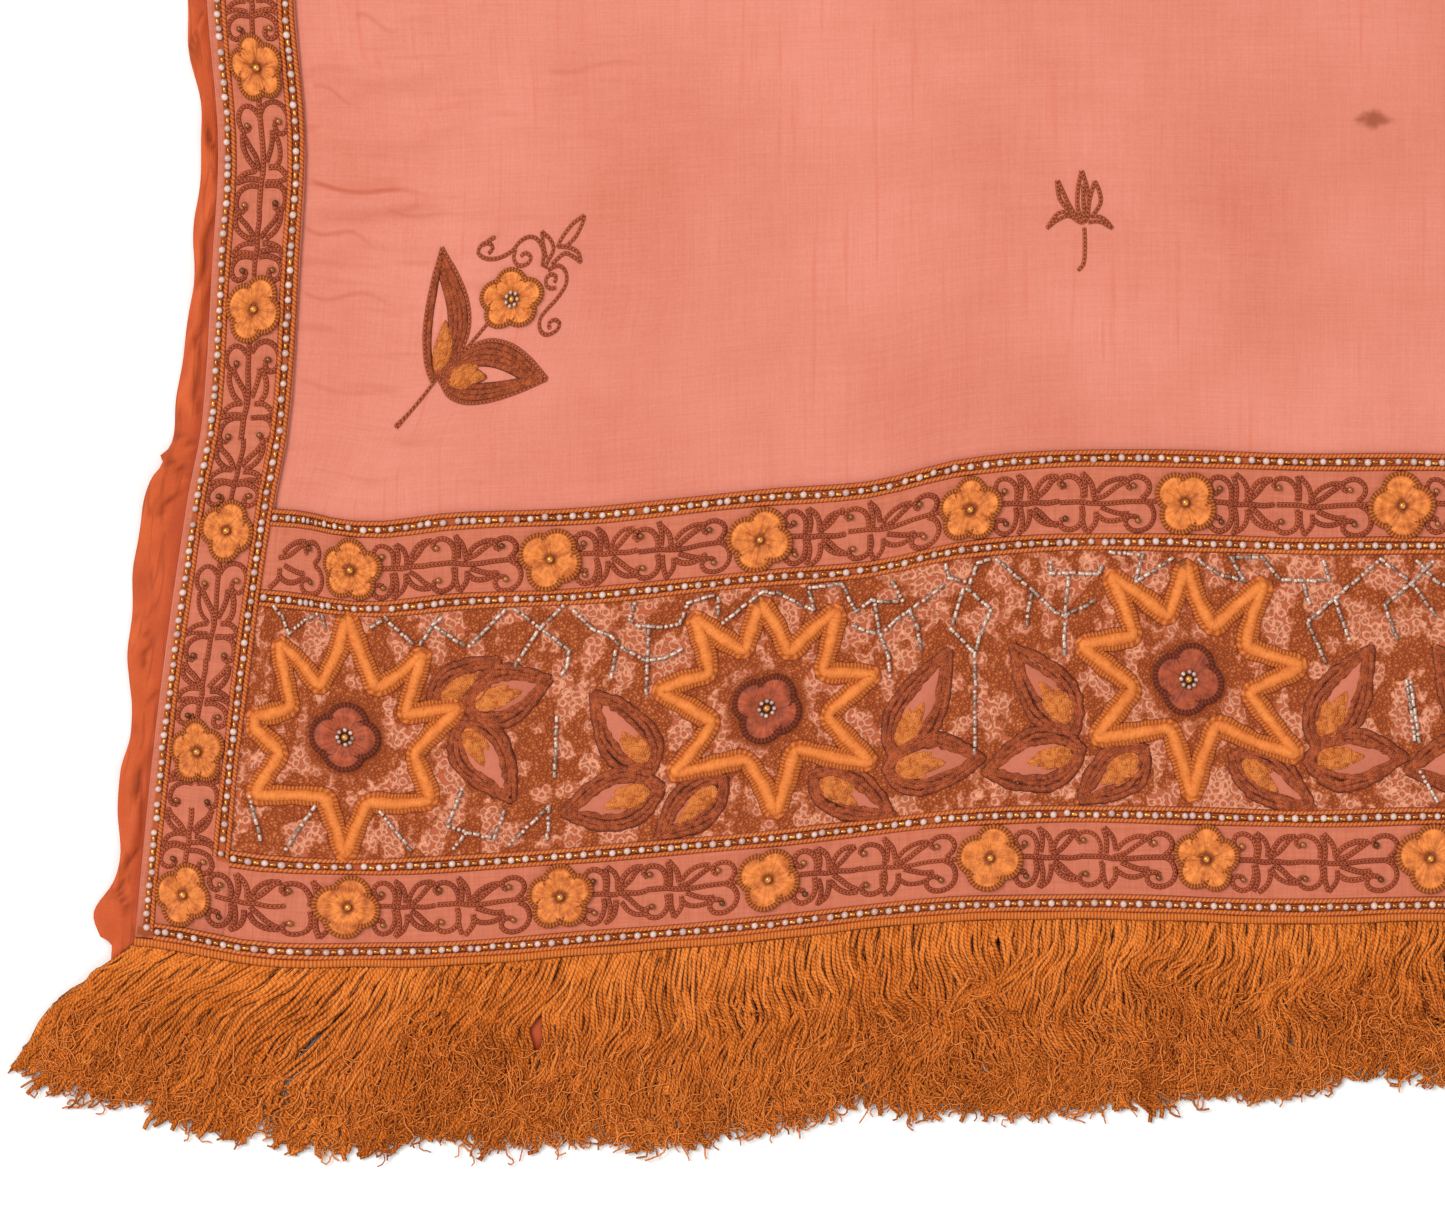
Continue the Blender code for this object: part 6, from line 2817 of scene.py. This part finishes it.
    def curl(self, path: Array, heading: Array, root: float) -> None:
        """Let one fine curly end stray from a thread.

        Args:
            path: The thread's path.
            heading: Its headings.
            root: Where the thread starts across.
        """
        rng = self.rng
        matted = self._matted(root)
        share = (0.12 + 0.84 * rng.beta(2.6, 1.1)) * (1.0 - 0.6 * matted * rng.uniform())
        at = int(share * (len(path) - 1))
        length = rng.uniform(11.0, 22.0) * (1.1 - 0.4 * share)
        run = np.linspace(0.0, length, self.curl_points)
        aside = rng.choice((-1.0, 1.0)) * rng.uniform(0.3, 1.6)
        turn = heading[at] * np.exp(-run / 40.0) + rng.normal(0.0, 0.4)
        turn = turn + aside * LAYING.ease((share - 0.55) / 0.3) * (1.0 - 0.5 * run / length)
        for size, low, high in ((1.3, 10.0, 18.0), (0.9, 5.5, 9.0)):
            wave = self._wave(run, low, high)
            turn = turn + abs(rng.normal(0.0, size)) * wave * np.minimum(1.0, run / 3.0)
        start = path[at] + rng.normal(0.0, 0.8, 2)
        curl = self._path(start, run, turn)
        curl[:, 1] += max(0.0, self._edge(root, 0.95, 1.02) - curl[:, 1].min())
        curl[:, 0] += max(0.0, (self._side(curl) + 5.0 - curl[:, 0]).max())
        level = 1.3 + 1.7 * (1.0 - share ** 2) + rng.uniform(-0.8, 0.5)
        level = level - run * 0.02 + 0.35 * np.sin(run / 2.2 + root)
        tone = float(np.clip(rng.normal(0.62 - 0.1 * matted, 0.26), 0.0, 1.0))
        self.fine.add(curl, np.clip(level, 0.1, 4.8), rng.uniform(0.7, 1.1), tone)

    def header_row(self) -> Strands:
        """Return the header: a row of upright loops along the seam.

        Returns:
            The row, ready to be swept.
        """
        rows = Strands(((-1.35, 0.0), (-0.8, 0.75), (0.8, 0.75), (1.35, 0.0)))
        across = np.array(grid_lines((self.first, CUT.width - self.first, 6.0)))
        line = np.column_stack((across, -1.6 + 0.15 * np.sin(across / 5.0)))
        rows.add(line, 3.1, 1.0)
        return rows

    def build(self) -> None:
        """Build the header and the threads."""
        rng, near = self.rng, self.half is Half.NEAR
        last = CUT.width - self.first
        seen = self.seen if near else self.first
        if near:
            for root in np.sort(rng.uniform(self.first, seen, self.under_count)):
                self.thread(float(root), self.under, 14, 1.6, 2.1)
            for root in np.sort(rng.uniform(self.first, seen, self.over_count)):
                path, heading = self.thread(float(root), self.over, 25, 2.1, 2.9)
                more = rng.uniform() < 0.2 + self._matted(float(root))
                for _ in range(2 if more else 1):
                    self.curl(path, heading, float(root))
        rest = int((last - seen) * self.rest_pitch[0 if near else 1])
        for root in np.sort(rng.uniform(seen, last, rest)):
            self.thread(float(root), self.plain, 7, 1.6, 3.4)
        name = self.half.value
        jobs = [
            ("fringe_header", self.header_row(), "header"),
            ("fringe_threads", self.plain, "fringe_wide"),
        ]
        if near:
            jobs += [
                ("fringe_under_threads", self.under, "fringe"),
                ("fringe_over_threads", self.over, "fringe"),
                ("fringe_curls", self.fine, "fringe_fine"),
            ]
        made = join_pieces(jobs, f"_{name}", self.half)
        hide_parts(f"fringe_{name}")


@dataclass
class Studio:
    """Pale floor, soft light and the camera straight above the photographed corner."""

    middle: tuple[float, float] = (-0.26625, -1.0273)
    frame_width: float = 0.4335
    lens: float = 200.0
    sensor: float = 36.0

    def build(self) -> None:
        """Set the studio."""
        self._floor()
        self._light("key", (-1.9, 1.1, 3.4), 2.2, 118.0)
        self._light("fill", (2.4, -2.6, 3.2), 3.0, 42.0)
        world = bpy.data.worlds.new("studio")
        world.use_nodes = True
        world.node_tree.nodes["Background"].inputs[0].default_value = (1.0, 0.985, 0.97, 1.0)
        world.node_tree.nodes["Background"].inputs[1].default_value = 0.62
        bpy.context.scene.world = world
        bpy.context.scene.view_settings.view_transform = "Standard"
        camera = bpy.data.cameras.new("camera")
        camera.lens = self.lens
        camera.sensor_width = self.sensor
        distance = self.lens / self.sensor * self.frame_width
        held = add_object("camera", camera)
        held.location = (*self.middle, distance + 0.003)
        bpy.context.scene.camera = held

    def _light(
        self, name: str, offset: tuple[float, float, float], size: float, power: float
    ) -> None:
        """Hang one soft light that faces the photographed corner.

        Args:
            name: Its name.
            offset: Where it hangs from the corner's middle, in metres.
            size: Its width in metres.
            power: Its power in watts.
        """
        lamp = bpy.data.lights.new(name, "AREA")
        lamp.size = size
        lamp.energy = power
        lamp.color = (1.0, 0.98, 0.955)
        held = add_object(name, lamp)
        target = Vector((*self.middle, 0.0))
        held.location = target + Vector(offset)
        held.rotation_euler = (target - held.location).to_track_quat("-Z", "Y").to_euler()

    @staticmethod
    def _floor() -> None:
        """Lay a plain pale floor."""
        mesh = bmesh.new()
        bmesh.ops.create_grid(mesh, x_segments=1, y_segments=1, size=14.0)
        bmesh.ops.translate(mesh, verts=mesh.verts, vec=(0.0, 0.0, -0.0003))
        data = bpy.data.meshes.new("floor")
        mesh.to_mesh(data)
        mesh.free()
        shader = Shader("floor_pale")
        data.materials.append(shader.finish(base_color=srgb(246, 246, 246), roughness=0.9))
        add_object("floor", data)


def main() -> None:
    """Build the dupatta and its studio."""
    logging.basicConfig(level=logging.INFO, format="%(message)s")
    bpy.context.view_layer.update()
    Studio().build()
    Lining().build()
    FaceCloth().build()
    BorderGrounds().build()
    SideBorder(seed=3, name="left").build()
    SideBorder(seed=5, half=Half.FAR, name="right").build()
    EndBorder(seed=7, name="near").build()
    EndBorder(seed=11, half=Half.FAR, name="far").build()
    Field().build()
    Fringe(Half.NEAR, 17).build()
    Fringe(Half.FAR, 19).build()


if __name__ == "__main__":
    main()
